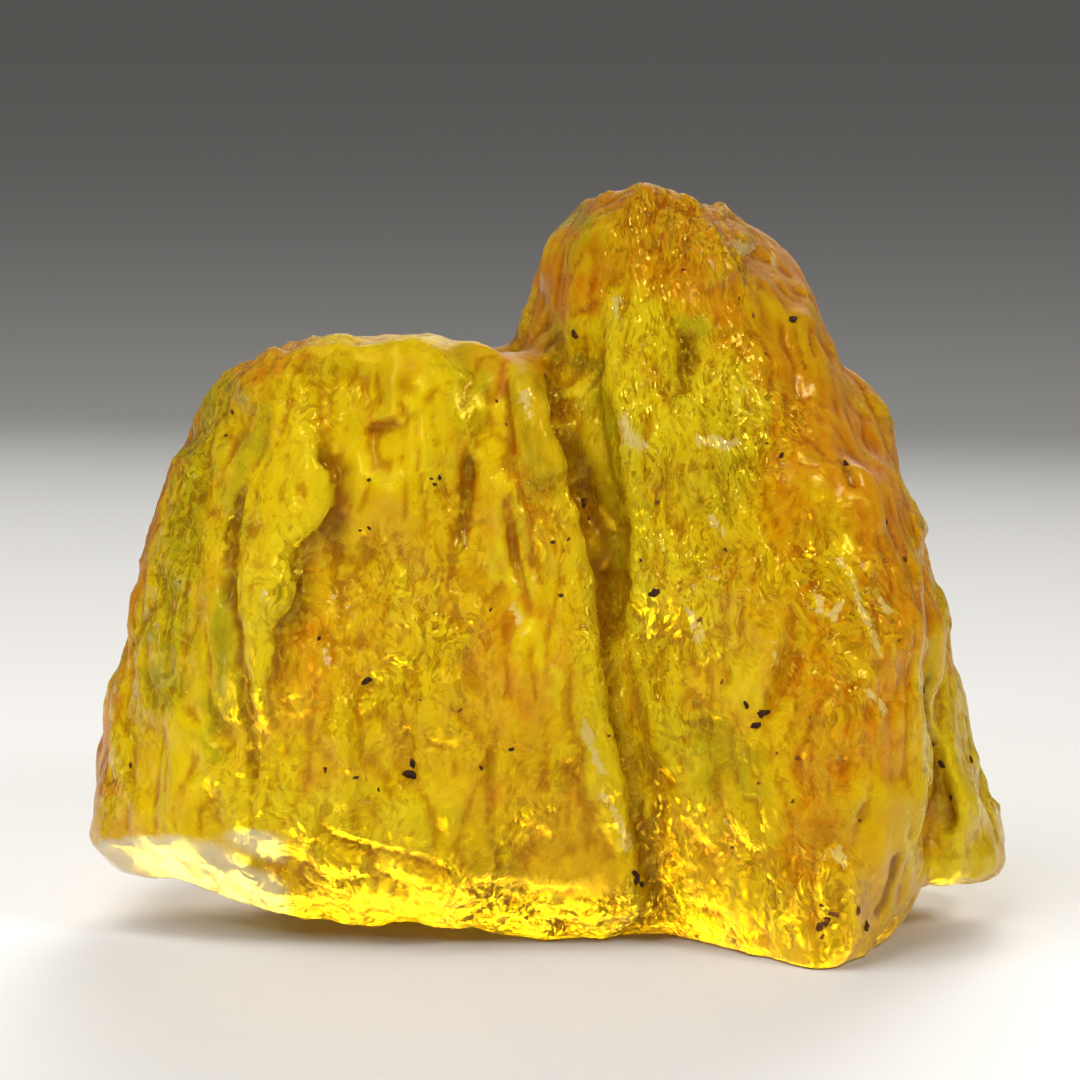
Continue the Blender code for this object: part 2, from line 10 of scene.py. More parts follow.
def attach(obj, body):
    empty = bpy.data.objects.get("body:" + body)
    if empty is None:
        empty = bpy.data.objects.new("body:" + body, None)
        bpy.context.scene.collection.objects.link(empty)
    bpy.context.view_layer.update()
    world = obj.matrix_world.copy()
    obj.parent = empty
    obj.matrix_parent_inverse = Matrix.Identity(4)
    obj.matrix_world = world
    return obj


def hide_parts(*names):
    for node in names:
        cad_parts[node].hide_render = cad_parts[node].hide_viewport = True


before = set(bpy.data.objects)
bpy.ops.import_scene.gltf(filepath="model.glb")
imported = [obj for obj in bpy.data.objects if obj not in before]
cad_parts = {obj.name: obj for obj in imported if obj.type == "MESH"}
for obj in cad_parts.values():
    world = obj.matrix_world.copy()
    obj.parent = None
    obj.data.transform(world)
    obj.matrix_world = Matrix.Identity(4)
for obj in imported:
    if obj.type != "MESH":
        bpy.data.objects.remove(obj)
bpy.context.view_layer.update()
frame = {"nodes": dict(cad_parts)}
mm = 0.001
beforeFront = -60  # in mm along y, clear of the front: where the rays towards it start

print("frame loaded:", ", ".join(frame["nodes"]))


# small helpers around the operators

def deselectAll():
    bpy.ops.object.select_all(action="DESELECT")


def makeActive(piece):
    deselectAll()
    piece.select_set(True)
    bpy.context.view_layer.objects.active = piece


def applyModifier(piece, kind, **settings):
    modifier = piece.modifiers.new(kind.lower(), kind)
    for name, value in settings.items():
        setattr(modifier, name, value)
    makeActive(piece)
    bpy.ops.object.modifier_apply(modifier=modifier.name)


def copyOfNode(nodeName, pieceName):
    mesh = frame["nodes"][nodeName].data.copy()  # a node's own mesh stays as it is
    piece = bpy.data.objects.new(pieceName, mesh)
    bpy.context.scene.collection.objects.link(piece)
    makeActive(piece)
    bpy.ops.object.mode_set(mode="EDIT")
    bpy.ops.mesh.select_all(action="SELECT")
    bpy.ops.mesh.remove_doubles(threshold=lump["mergedWithin"] * mm)
    bpy.ops.object.mode_set(mode="OBJECT")
    return piece


def smoothStep(start, end, values):
    t = np.clip((values - start) / (end - start), 0, 1)
    return t * t * (3 - 2 * t)


def risingFrom(least, values):
    return least + (1 - least) * values


# the lump's skin as arrays, in millimetres

class Skin:
    def __init__(self, piece):
        self.mesh = piece.data
        self.points = np.empty(len(self.mesh.vertices) * 3)
        self.mesh.vertices.foreach_get("co", self.points)
        self.points = self.points.reshape(-1, 3) / mm
        self.edges = np.empty(len(self.mesh.edges) * 2, int)
        self.mesh.edges.foreach_get("vertices", self.edges)
        self.edges = self.edges.reshape(-1, 2)
        self.settle()

    def settle(self):  # puts the corners back in the mesh and reads the directions there
        self.mesh.vertices.foreach_set("co", (self.points * mm).ravel())
        self.mesh.update()
        normals = np.empty(len(self.mesh.vertices) * 3, np.float32)
        self.mesh.vertex_normals.foreach_get("vector", normals)
        self.normals = normals.reshape(-1, 3).astype(float)

    def push(self, heights):
        self.points = self.points + self.normals * (heights * self.pushed())[:, None]
        self.settle()

    def pushed(self):  # the foot stays flat, and the fresh break stays nearly smooth
        aboveFoot = smoothStep(*lump["pushedAbove"], self.points[:, 2])
        return aboveFoot * (1 - lump["freshSpared"] * self.fresh())

    def fresh(self):  # 1 on the clean break under the low flow, 0 elsewhere
        facing = self.formNormals() @ np.array(lump["freshFacing"])
        low = 1 - smoothStep(*lump["freshTop"], self.points[:, 2])
        cleanPart = 1 - smoothStep(*lump["freshEnd"], self.points[:, 0])
        return smoothStep(*lump["freshTurn"], facing) * low * cleanPart

    def formNormals(self):  # the way the large forms face, read before anything is pushed
        if not hasattr(self, "keptNormals"):
            blurred = self.blurred(self.normals, lump["formPasses"])
            self.keptNormals = blurred / np.linalg.norm(blurred, axis=1)[:, None]
        return self.keptNormals

    def blurred(self, values, passes):
        ends = np.concatenate((self.edges, self.edges[:, ::-1]))
        count = np.bincount(ends[:, 0], minlength=len(self.points))
        for _ in range(passes):
            sums = [np.bincount(ends[:, 0], column[ends[:, 1]], len(self.points))
                    for column in values.T]
            values = (values + np.array(sums).T / count[:, None]) / 2
        return values

    def hollows(self, passes):  # how far each corner lies below its surroundings
        return ((self.blurred(self.points, passes) - self.points) * self.normals).sum(axis=1)

    def softNoise(self, across, upright, shift=0.0, sway=0):
        scale = np.array((1 / across, 1 / across, 1 / upright))
        places = (self.points + sway) * scale + shift
        return np.array([noise.noise(Vector(place)) for place in places])

    def swayed(self, across, upright, reach, shift):  # carries each corner's place a little aside
        axes = [self.softNoise(across, upright, shift + apart) for apart in noiseShifts["axes"]]
        return np.column_stack(axes) * reach

    def growTree(self):
        self.tree = KDTree(len(self.points))
        for i, place in enumerate(self.points):
            self.tree.insert(place, i)
        self.tree.balance()

    def near(self, line, reach):  # corners near a line, their gap, and the line's nearest point
        found = {}
        for k, place in enumerate(line):
            for _, i, gap in self.tree.find_range(place, reach):
                if gap < found.get(i, (reach, 0))[0]:
                    found[i] = (gap, k)
        corners = np.array(sorted(found))
        gaps = np.array([found[i][0] for i in corners])
        nearest = np.array([found[i][1] for i in corners])
        return corners, gaps, nearest

    def surface(self):
        faces = [face.vertices[:] for face in self.mesh.polygons]
        return BVHTree.FromPolygons(self.points.tolist(), faces)

    def store(self, name, values):
        layer = self.mesh.attributes.new(name, "FLOAT", "POINT")
        layer.data.foreach_set("value", values.astype(np.float32))

    def storeColour(self, name, colours):
        layer = self.mesh.attributes.new(name, "FLOAT_COLOR", "POINT")
        opaque = np.insert(colours, 3, 1, axis=1)
        layer.data.foreach_set("color", opaque.astype(np.float32).ravel())

    def storePlaces(self, name, places):
        layer = self.mesh.attributes.new(name, "FLOAT_VECTOR", "POINT")
        layer.data.foreach_set("vector", places.astype(np.float32).ravel())


# the lump itself, in mm where nothing else is said

lump = {
    "mergedWithin": 0.002,         # corners of the solid closer than this become one
    "cornerSpacing": 0.34,
    "smoothing": (0.5, 9),         # factor, passes
    "pushedAbove": (0.35, 1.55),   # heights above the foot where pushing starts, and is full
    "freshFacing": (-0.37, -0.54, -0.76),  # the way the clean break under the low flow faces
    "freshTurn": (0.72, 0.9),      # how squarely a place faces that way to be partly, wholly in it
    "freshTop": (7.5, 9.5),        # heights where the break starts to end, and ends
    "freshEnd": (-18.5, -14.5),    # across, where the clean break turns into crumpled skin
    "freshSpared": 0.75,           # share of the pushing that the break is spared
    "formPasses": 30,              # blurring that leaves the large forms only
    "strands": (1.7, 9.0, 0.22),   # across, upright, height
    "strandSway": (5.0, 9.0, 1.6),  # across, upright, reach
    "strandLevel": 0.4,            # how high the skin between the creases stands, of the height
    "plainStrands": 0.45,          # share of their height where the skin isn't crumpled
    "flakes": (2.6, 4.6, 0.19),
    "smallFlakes": (1.1, 1.8, 0.09),
    "flakeSway": (2.5, 4.0, 0.9),
    "flakeEdge": (0.16, 0.35, 0.25),  # width, share of the tilt left there, depth
    "plainFlakes": 0.35,
    "grain": (0.8, 1.0, 0.04),
    "grainLevel": 0.5,
    "creaseSharpness": 3,          # of strands and grain
    "clouds": [(6.5, 0.30), (3.0, 0.16), (1.4, 0.10), (0.8, 0.07)],  # size, strength
    "cloudStretch": 1.4,
    "cloudMiddle": 0.5,
    "bends": [(2.4, 1.2, 80.0), (0.9, 0.35, 90.0)],  # of the fine pattern: size, reach, shift
    "lean": 0.4,
    "leanAcross": (-5, 15),        # across, where the pattern starts to lean, and leans in full
    "drawnOut": 0.7,
}

# where each kind of noise is read, so that no two are alike
noiseShifts = {
    "axes": (0, 20, 40), "strands": 0.0, "strandSway": 4.0, "flakes": 3.0, "smallFlakes": 8.0,
    "grain": 9.0, "strays": 5.5, "toneStep": 11.0, "crumples": 50.0, "patches": 60.0,
    "clouds": 70.0,
}

# the short folds strewn over the whole skin, along the way the resin ran
wrinkles = {
    "count": 2600,
    "length": (1.0, 5.0),
    "shortened": (0.4, 1),
    "width": (0.26, 0.42),
    "height": 0.16,
    "lowered": (0.35, 1),
    "ridges": 0.6,    # share of them that stand up
    "groove": -0.8,   # height of the others, as a share
    "turn": 0.16,     # spread of the turn at each step, in radians
    "lean": 0.42,     # spread of the lean at the start, in radians
    "step": 0.3,
    "fewestSteps": 3,
    "level": 0.05,    # how small the way sideways is where the skin counts as level
    "fade": 0.6,      # power of the fade towards both ends
    "reach": 2,       # in widths
    "limit": 0.3,     # the most they add up to
    "seed": 11,
}

# how the folds and lips below are drawn
drawing = {
    "spacing": 0.25,       # of the points along a path
    "stray": (1.2, 0.18),  # size and reach of the noise that makes a path unsteady
    "faded": 0.15,         # share of a path over which it fades at either end
    "swell": (1.8, 0.6),   # size and strength of the noise by which a mark comes and goes
    "reach": 2.2,          # in widths
    "lipEdge": 0.25,       # half width of a lip's step
    "lipSunk": 0.4,        # share of a lip's height by which its low side sinks
    "fullMark": 0.4,       # height at which a mark has its full tone
}

# folds placed on the front: half width, height (less than 0 for a groove), and the path's
# places across and up
folds = {
    "main furrow": (0.75, -0.8, [
        (-0.6, 38.4), (-0.2, 37.4), (0.2, 35.4), (0.5, 33.6), (1.2, 31.7), (1.9, 30.0), (2.7, 28.0),
        (3.0, 25.6), (3.2, 22.4), (3.9, 17.3), (5.0, 13.0), (5.4, 10.1), (6.1, 7.5), (6.6, 2.6)]),
    "upper ridge": (0.9, 0.5, [
        (-1.8, 38.3), (-1.5, 37.0), (-1.2, 35.6), (-0.9, 33.9), (-0.4, 32.0), (0.2, 30.0)]),
    "middle ridge": (0.45, 0.35, [
        (-2.8, 31.6), (-2.4, 30.1), (-1.8, 28.2), (-1.6, 26.5), (-1.2, 24.7), (-0.6, 22.6)]),
    "side groove": (0.45, -0.35, [
        (-4.8, 33.1), (-5.1, 31.3), (-5.2, 29.4), (-5.4, 27.3), (-5.4, 25.5)]),
    "side ridge": (0.4, 0.3, [
        (-3.2, 31.3), (-3.3, 28.9), (-3.1, 26.5), (-2.6, 24.7), (-1.8, 23.1)]),
    "tall flow edge": (0.55, 0.45, [
        (3.8, 43.2), (4.2, 40.7), (4.0, 38.4), (4.3, 36.3), (5.0, 33.9), (5.2, 31.7), (5.4, 29.0),
        (5.6, 25.0), (5.2, 20.5), (5.8, 18.2), (6.5, 16.3), (6.9, 13.9), (8.1, 11.4)]),
    "tall flow valley": (0.7, -0.3, [
        (8.8, 40.2), (8.6, 39.0), (8.5, 37.7), (8.3, 36.6), (8.4, 35.6)]),
    "left groove": (0.5, -0.45, [
        (-19.2, 31.0), (-20.1, 27.0), (-20.2, 25.0), (-20.1, 22.9), (-19.6, 21.3), (-19.5, 16.9),
        (-18.8, 13.6), (-18.6, 9.5)]),
    "left strand": (0.4, 0.25, [(-18.9, 27.5), (-19.0, 24.0), (-18.6, 21.0), (-18.2, 16.0)]),
    "upright line": (0.35, -0.2, [(-3.7, 14.6), (-3.8, 11.7), (-3.8, 8.6), (-2.8, 4.9)]),
    "short groove": (0.35, -0.25, [(-13.1, 28.6), (-13.4, 26.8), (-13.0, 24.9)]),
    "thin bright fold": (0.3, 0.3, [
        (18.1, 25.9), (18.7, 25.0), (19.2, 23.7), (19.6, 22.2), (20.0, 21.2), (20.8, 19.2)]),
    "hook": (0.35, 0.25, [(16.4, 24.2), (16.5, 22.9), (17.5, 22.4), (17.9, 21.2)]),
    "hook arm": (0.3, 0.22, [(17.9, 23.9), (18.1, 22.4)]),
    "crack": (0.3, -0.4, [(18.5, 32.0), (18.7, 31.3), (19.1, 29.9)]),
    "flap crease": (0.6, -0.6, [
        (23.9, 17.8), (23.9, 16.6), (24.5, 14.5), (25.0, 12.3), (25.4, 10.4), (25.9, 7.6),
        (26.0, 6.0)]),
    "toe crease": (0.5, -0.4, [(22.0, 7.4), (21.9, 5.3), (21.3, 3.7), (20.4, 2.5)]),
    "right strand": (0.4, 0.2, [(12.1, 23.5), (12.6, 21.0), (12.7, 18.5), (13.3, 15.9)]),
    "pale strand": (0.35, 0.2, [(8.7, 23.9), (9.0, 21.5), (9.4, 20.5), (9.6, 19.0)]),
    "curl": (0.3, 0.22, [(-10.3, 22.4), (-9.3, 22.1), (-8.3, 21.8), (-8.0, 20.8)]),
    "lower curl": (0.3, 0.2, [(-10.3, 20.1), (-9.1, 19.8), (-7.4, 19.6)]),
    "loop": (0.3, 0.22, [(8.6, 15.6), (9.5, 16.2), (10.2, 16.0), (11.0, 16.7)]),
    "lower loop": (0.3, 0.2, [(8.0, 13.9), (8.8, 13.8), (9.6, 14.3)]),
    "facet line": (0.35, -0.25, [(-25.2, 22.3), (-26.4, 20.0), (-27.5, 17.7)]),
    "facet strand": (0.35, 0.22, [(-22.9, 25.1), (-23.5, 22.5), (-23.8, 20.0)]),
}

# lips placed one by one: reach, height, and the path; the skin on the path's left is the raised one
lips = {
    "edge over the furrow": (1.5, 0.9, [
        (6.0, 7.5), (5.0, 12.0), (4.0, 15.5), (3.2, 19.5), (2.7, 23.5), (2.4, 26.5), (1.7, 29.0),
        (1.0, 31.0), (0.4, 33.4), (0.0, 35.4), (-0.3, 37.2), (-0.5, 38.8)]),
    "tongue's left edge": (0.8, 0.3, [(-2.9, 38.4), (-2.6, 36.5), (-2.2, 34.5), (-1.9, 32.0)]),
    "scalloped plate": (1.6, 0.8, [
        (-17.9, 17.1), (-17.5, 19.0), (-17.2, 21.7), (-16.2, 22.8), (-15.9, 24.1), (-16.2, 25.1),
        (-16.0, 26.6), (-14.5, 27.8), (-13.6, 29.3), (-13.7, 31.0), (-14.7, 31.9), (-14.4, 34.5)]),
    "inner scallop": (0.9, 0.35, [(-15.9, 27.6), (-15.7, 29.5), (-15.6, 31.3)]),
    "top plate": (1.0, 0.35, [
        (-12.1, 34.0), (-10.4, 34.3), (-9.3, 34.6), (-9.4, 35.8), (-9.4, 37.2), (-9.5, 38.3)]),
    "slanting lip": (0.8, 0.25, [(-8.8, 34.9), (-7.6, 36.1), (-6.8, 37.1)]),
    "arc on the tall flow": (1.0, 0.3, [(9.6, 42.3), (11.6, 43.7), (12.9, 44.8), (13.2, 45.7)]),
    "arc beside it": (0.9, 0.25, [(1.1, 40.7), (2.2, 41.4), (3.3, 42.1)]),
    "low lip": (1.1, 0.5, [
        (-14.6, 9.0), (-13.2, 8.3), (-11.7, 7.7), (-9.4, 7.3), (-7.1, 6.5), (-5.1, 5.1)]),
    "break's edge": (0.9, 0.3, [(-18.4, 6.6), (-16.6, 5.6), (-15.1, 4.8), (-13.0, 3.7)]),
}

# tones of the skin, as strokes along the way the resin ran: half width, strength, and the path
# some of these strokes are painted light and shade, as said at each kind
tones = {
    # olive: partly the amber's greenish tone, partly painted shade in valleys, creases and
    # turned-away sides
    "olive": [
        (1.5, 0.9, [
            (-21.0, 35.3), (-22.6, 32.1), (-23.1, 28.7), (-23.5, 25.0), (-24.1, 21.2),
            (-24.9, 16.6)]),
        (1.0, 1.0, [(-23.0, 30.6), (-23.3, 28.7), (-23.7, 26.8)]),
        (1.2, 0.9, [(-20.0, 23.0), (-20.4, 19.8), (-21.0, 16.5), (-21.5, 14.0)]),
        (1.3, 0.7, [(-18.2, 34.2), (-19.5, 31.0), (-20.1, 27.2)]),
        (1.3, 1.0, [(2.8, 37.2), (4.0, 34.3), (4.4, 31.2), (4.8, 26.6), (5.0, 23.5), (6.2, 20.5)]),
        (0.9, 0.9, [(8.8, 40.3), (8.7, 38.1), (8.4, 35.6)]),
        (2.0, 0.7, [(10.3, 35.7), (11.6, 33.3), (11.6, 30.9), (9.7, 29.6)]),
        (2.0, 0.7, [(8.2, 14.0), (9.8, 12.4), (12.0, 12.0), (10.4, 14.7)]),
        (0.6, 0.8, [(23.8, 17.8), (24.5, 14.0), (25.4, 10.4), (26.0, 7.1)]),
        (1.0, 0.8, [(1.3, 45.9), (2.6, 46.1)]),
        (1.6, 0.6, [(5.7, 18.0), (7.0, 15.5), (6.7, 12.8)]),
        (1.3, 0.6, [(-5.9, 38.0), (-4.7, 36.8), (-5.0, 34.5)])],
    "orange": [
        (3.2, 0.9, [(1.0, 47.0), (5.7, 48.2), (10.9, 46.2), (14.8, 43.2)]),
        (3.0, 0.85, [(5.5, 44.5), (9.5, 43.0), (13.0, 39.5), (15.0, 36.0), (16.0, 32.5)]),
        (2.4, 0.75, [(14.2, 31.0), (15.8, 26.5), (17.0, 22.0), (16.4, 10.0), (15.0, 6.0)]),
        (1.4, 0.6, [(1.2, 44.5), (2.2, 40.5), (3.0, 38.0)]),
        (1.5, 1.2, [(-1.9, 38.0), (-1.5, 35.7), (-1.0, 33.0), (0.2, 30.0), (0.9, 27.0)]),
        (1.0, 0.5, [(1.6, 24.0), (2.0, 19.5), (2.8, 14.0)]),
        (1.8, 0.9, [(-0.3, 43.2), (0.7, 41.4), (3.2, 42.3), (3.2, 44.8)]),
        (2.4, 0.8, [(16.1, 41.9), (18.6, 36.2), (21.1, 31.3), (22.5, 26.6), (24.0, 21.6)]),
        (0.7, 0.7, [(26.6, 17.5), (28.0, 12.2), (30.0, 7.4)]),
        (1.4, 0.6, [(-7.5, 2.4), (-2.0, 1.6), (5.9, 0.8), (12.0, 0.4)]),
        (2.6, 0.7, [
            (15.2, 39.7), (17.7, 33.6), (20.1, 28.3), (21.7, 23.2), (22.3, 18.2), (22.0, 13.2)]),
        (2.2, 0.9, [(15.6, 18.5), (18.1, 17.4), (19.4, 14.8), (17.5, 13.0)]),
        (1.0, 0.9, [
            (-15.9, 38.9), (-19.2, 37.3), (-22.2, 33.5), (-24.7, 30.0), (-26.1, 25.9),
            (-27.1, 22.3), (-27.9, 17.8), (-28.4, 14.0), (-29.5, 9.1)]),
        (0.7, 0.9, [(-15.7, 24.1), (-16.0, 22.7), (-15.5, 20.7)]),
        (1.3, 0.55, [(-15.0, 21.0), (-14.9, 16.9), (-14.4, 14.4)]),
        (0.6, 0.8, [(-13.8, 29.4), (-13.7, 26.8), (-14.6, 24.6)]),
        (0.5, 1.0, [(-9.4, 34.5), (-10.1, 34.1), (-11.1, 34.2)]),
        (0.9, 0.6, [(-5.6, 35.1), (-5.7, 32.6), (-5.0, 29.4), (-5.2, 27.0)]),
        (1.2, 0.55, [(-2.8, 29.5), (-1.9, 25.5), (-0.3, 20.8), (0.7, 15.7), (1.6, 11.0)]),
        (2.0, 0.45, [(-3.1, 20.7), (-1.9, 17.0), (-1.5, 13.1), (-3.1, 10.4)]),
        (0.7, 0.8, [(-15.1, 11.8), (-15.4, 10.5)])],
    # pale: partly paler skin, partly painted light on the flap, the low flow's foot and the tall
    # flow
    "pale": [
        (1.4, 0.9, [(-18.0, 25.7), (-18.8, 23.8), (-19.0, 22.5), (-19.1, 20.1), (-19.3, 16.8)]),
        (1.2, 0.7, [(-15.7, 34.3), (-16.6, 31.3), (-16.3, 28.8), (-17.2, 27.0)]),
        (0.4, 1.0, [(-16.4, 25.1), (-16.2, 23.8), (-16.7, 22.3)]),
        (1.5, 0.6, [(-23.5, 15.0), (-22.2, 12.6), (-21.3, 10.0)]),
        (1.2, 0.9, [(4.9, 36.1), (6.3, 34.5), (6.9, 33.3), (5.7, 32.6)]),
        (1.6, 0.9, [(8.8, 35.8), (10.7, 36.9), (12.2, 35.7), (12.5, 33.8)]),
        (1.0, 0.6, [(5.7, 31.4), (8.8, 30.8), (11.6, 30.2)]),
        (2.0, 0.7, [(6.3, 27.6), (8.2, 25.8), (9.4, 23.3), (10.7, 20.8), (11.9, 17.8)]),
        (1.5, 0.5, [(6.3, 16.7), (7.6, 14.2), (8.9, 10.5), (10.8, 7.8)]),
        (0.6, 0.9, [(4.3, 40.5), (4.7, 38.8), (5.4, 35.8)]),
        (0.7, 0.8, [(-1.5, 20.8), (0.7, 17.0), (2.6, 11.0), (4.2, 6.9)]),
        (0.4, 1.0, [(-2.0, 37.1), (-1.6, 35.7), (-1.2, 34.6)]),
        (0.4, 0.9, [(-3.6, 27.0), (-2.8, 24.4), (-2.0, 21.9)]),
        (0.6, 0.8, [(6.6, 24.5), (7.5, 17.4), (8.9, 11.8), (10.8, 7.1)]),
        (1.6, 0.5, [(-10.0, 25.1), (-8.1, 22.1), (-9.4, 18.2)]),
        (1.2, 0.5, [(-6.8, 31.4), (-7.3, 33.9), (-6.2, 36.3)]),
        (2.4, 0.8, [(-20.5, 9.2), (-14.0, 9.6), (-8.0, 9.2)]),
        (2.2, 0.4, [(-14.5, 15.5), (-10.0, 13.5), (-6.0, 16.5)]),
        (2.4, 1.2, [(25.4, 14.6), (26.8, 10.4), (28.0, 6.4)]),
        (1.2, 0.9, [(25.0, 4.5), (28.2, 4.2)])],
    # deep: painted shade, darker along the bottom, on the ridge by the furrow and beside it
    "deep": [
        (0.9, 0.7, [(-1.9, 38.0), (-1.5, 35.7), (-1.0, 33.0), (0.2, 30.0)]),
        (2.4, 0.85, [(-12.0, 4.6), (-5.0, 3.4), (0.0, 2.6), (5.4, 1.8)]),
        (1.8, 0.9, [(-18.0, 4.2), (-14.0, 3.0), (-9.0, 2.2)]),
        (1.4, 0.35, [(2.6, 34.0), (3.4, 30.0), (4.0, 26.0), (4.2, 21.0), (5.4, 16.0)])],
    # brown: painted shade along the main furrow and under the break's edge
    "brown": [
        (0.75, 1.0, [
            (0.4, 38.9), (0.2, 36.8), (0.7, 35.0), (1.4, 32.8), (2.3, 30.5), (3.0, 28.0),
            (3.1, 25.6)]),
        (0.6, 1.0, [(3.1, 25.6), (3.2, 22.4), (3.9, 17.3), (5.0, 13.0), (5.4, 10.1)]),
        (0.55, 1.0, [(5.4, 10.1), (6.1, 7.5), (6.6, 3.0)]),
        (0.5, 0.6, [(-15.3, 5.4), (-13.3, 4.9), (-11.4, 3.5)])],
    # glint: painted highlights in cream, kept on the front; they also add real coat gloss
    "glint": [
        (0.26, 1.0, [(16.7, 23.9), (16.8, 22.9), (17.7, 22.4), (18.2, 23.2)]),
        (0.22, 1.0, [(18.1, 25.9), (19.1, 24.1), (19.9, 22.2), (20.6, 20.0)]),
        (0.25, 1.0, [(20.5, 23.4), (21.3, 22.6)]), (0.25, 1.0, [(20.0, 17.6), (20.9, 16.4)]),
        (0.28, 1.0, [(12.0, 45.1), (12.4, 44.4), (13.0, 44.8)]),
        (0.18, 1.0, [(14.2, 44.4), (14.4, 43.7)]),
        (0.35, 0.9, [(8.8, 22.7), (9.4, 20.8)]), (0.2, 0.8, [(13.7, 21.1), (14.3, 19.4)]),
        (0.35, 0.8, [(2.2, 15.8), (2.7, 14.1), (3.2, 12.5)]),
        (0.4, 0.8, [(3.5, 10.8), (4.3, 9.1), (4.9, 7.3)]),
        (0.4, 0.9, [(9.4, 33.3), (10.6, 33.0), (11.6, 33.2)]),
        (0.5, 0.9, [(4.5, 34.5), (5.0, 33.3), (5.7, 32.9)]),
        (0.4, 0.8, [(10.1, 28.3), (10.8, 27.7)]), (0.3, 0.8, [(4.0, 41.9), (4.3, 40.8)]),
        (0.35, 0.8, [(17.8, 7.9), (18.5, 7.2)]), (0.35, 0.7, [(-18.0, 23.6), (-17.5, 23.3)]),
        (0.35, 0.8, [(0.9, 45.9), (1.7, 46.8), (2.6, 47.4)]),
        (0.3, 0.9, [(-1.6, 36.4), (-1.2, 34.8)]), (0.3, 0.8, [(-2.2, 23.0), (-1.6, 21.2)])],
}

# how crumpled the skin is, with the same kind of strokes where it is more or less so than usual
crumples = {
    "usual": 0.4,
    "least": 0.08,
    "patches": (5.0, 8.0, 0.5),  # across, upright, strength
    "sway": (2.2, 3.0, 1.6),     # across, upright, reach
    "more": [
        (3.0, 0.6, [(5.0, 36.4), (9.4, 35.8), (13.2, 34.5), (11.9, 30.9), (6.9, 31.4)]),
        (3.0, 0.6, [
            (6.3, 27.0), (9.4, 25.8), (13.1, 24.7), (10.7, 20.2), (7.6, 20.6), (9.5, 15.6)]),
        (2.4, 0.6, [(15.6, 25.9), (18.7, 24.1), (20.6, 20.9), (17.5, 19.2), (20.0, 17.2)]),
        (2.0, 0.4, [(5.7, 46.1), (8.8, 45.5), (13.5, 44.7)]),
        (1.4, 0.5, [(4.4, 41.8), (5.7, 38.8), (8.2, 40.0)]),
        (1.8, 0.5, [(-22.6, 33.4), (-23.5, 28.7), (-23.9, 23.7), (-24.9, 18.6), (-27.0, 11.8)]),
        (1.6, 0.4, [(-20.6, 36.7), (-16.5, 38.3), (-13.8, 37.4)]),
        (3.0, 0.4, [(-13.8, 21.9), (-9.4, 24.5), (-7.5, 20.8), (-11.3, 16.8), (-7.5, 15.1)]),
        (1.4, 0.5, [(-0.6, 30.8), (0.7, 25.8), (1.9, 20.9), (4.0, 15.7)]),
        (2.6, 0.3, [(9.5, 9.1), (13.3, 6.7), (18.1, 4.8)]),
        (3.0, 0.3, [(-14.0, 3.5), (-6.0, 2.5), (4.0, 1.5)])],
    "less": [
        (2.6, 0.35, [(15.4, 42.5), (19.1, 33.9), (21.6, 29.0)]),
        (2.0, 0.35, [(1.0, 43.9), (1.9, 41.6), (3.2, 44.2)]),
        (2.4, 0.3, [(-11.3, 38.0), (-9.4, 35.7), (-10.6, 32.5), (-13.1, 29.4)]),
        (1.2, 0.35, [(-2.5, 37.9), (-1.2, 34.5), (-0.3, 30.8)]),
        (1.0, 0.35, [(-4.4, 30.7), (-3.1, 25.7), (-2.2, 21.9)]),
        (1.2, 0.3, [(2.5, 35.5), (3.2, 29.2), (3.2, 25.5)]),
        (2.0, 0.3, [(20.7, 12.2), (21.5, 5.4)])],
}


def creased(values):  # 0 in thin creases where the values cross 0, 1 between them
    return np.minimum(np.abs(values) * lump["creaseSharpness"], 1)


def addStrands(skin):
    across, upright, height = lump["strands"]
    sway = skin.swayed(*lump["strandSway"], noiseShifts["strandSway"])
    values = skin.softNoise(across, upright, noiseShifts["strands"], sway)
    relief = lump["strandLevel"] - (1 - creased(values))
    skin.push(height * relief * risingFrom(lump["plainStrands"], skin.crumpled))


def addFlakes(skin, name):
    across, upright, height = lump[name]
    edgeWidth, edgeTilt, edgeDepth = lump["flakeEdge"]
    shift = noiseShifts[name]
    scale = np.array((1 / across, 1 / across, 1 / upright))
    heights = []
    for place in (skin.points + skin.swayed(*lump["flakeSway"], shift)) * scale + shift:
        place = Vector(place)
        gaps, middles = noise.voronoi(place)
        slope = 2 * noise.cell_vector(middles[0]) - Vector((1, 1, 1))
        inside = min((gaps[1] - gaps[0]) / edgeWidth, 1)  # 0 on a flake's edge
        tilted = slope.dot(place - middles[0]) * risingFrom(edgeTilt, inside)
        heights.append(tilted - edgeDepth * (1 - inside))
    skin.push(height * np.array(heights) * risingFrom(lump["plainFlakes"], skin.crumpled))


def layOnFront(surface, path):  # points close together on the skin, and the skin's directions there
    size, reach = drawing["stray"]
    laid = []
    for (x0, z0), (x1, z1) in zip(path, path[1:]):
        steps = max(1, round(math.hypot(x1 - x0, z1 - z0) / drawing["spacing"]))
        for k in range(steps):
            x, z = x0 + (x1 - x0) * k / steps, z0 + (z1 - z0) * k / steps
            stray = reach * noise.noise(Vector((x / size, z / size, noiseShifts["strays"])))
            laid.append(Vector((x + stray, beforeFront, z)))
    hits = [surface.ray_cast(place, Vector((0, 1, 0))) for place in laid]
    hits = [hit for hit in hits if hit[0] is not None]
    return [hit[0] for hit in hits], [hit[1] for hit in hits]


def strengths(line):  # a mark comes and goes along its path, and fades at both ends
    size, strength = drawing["swell"]
    along = np.linspace(0, 1, len(line))
    fade = smoothStep(0, drawing["faded"], along) * smoothStep(0, drawing["faded"], 1 - along)
    swell = np.array([noise.noise(place / size) for place in line])
    return fade * (1 + strength * swell)


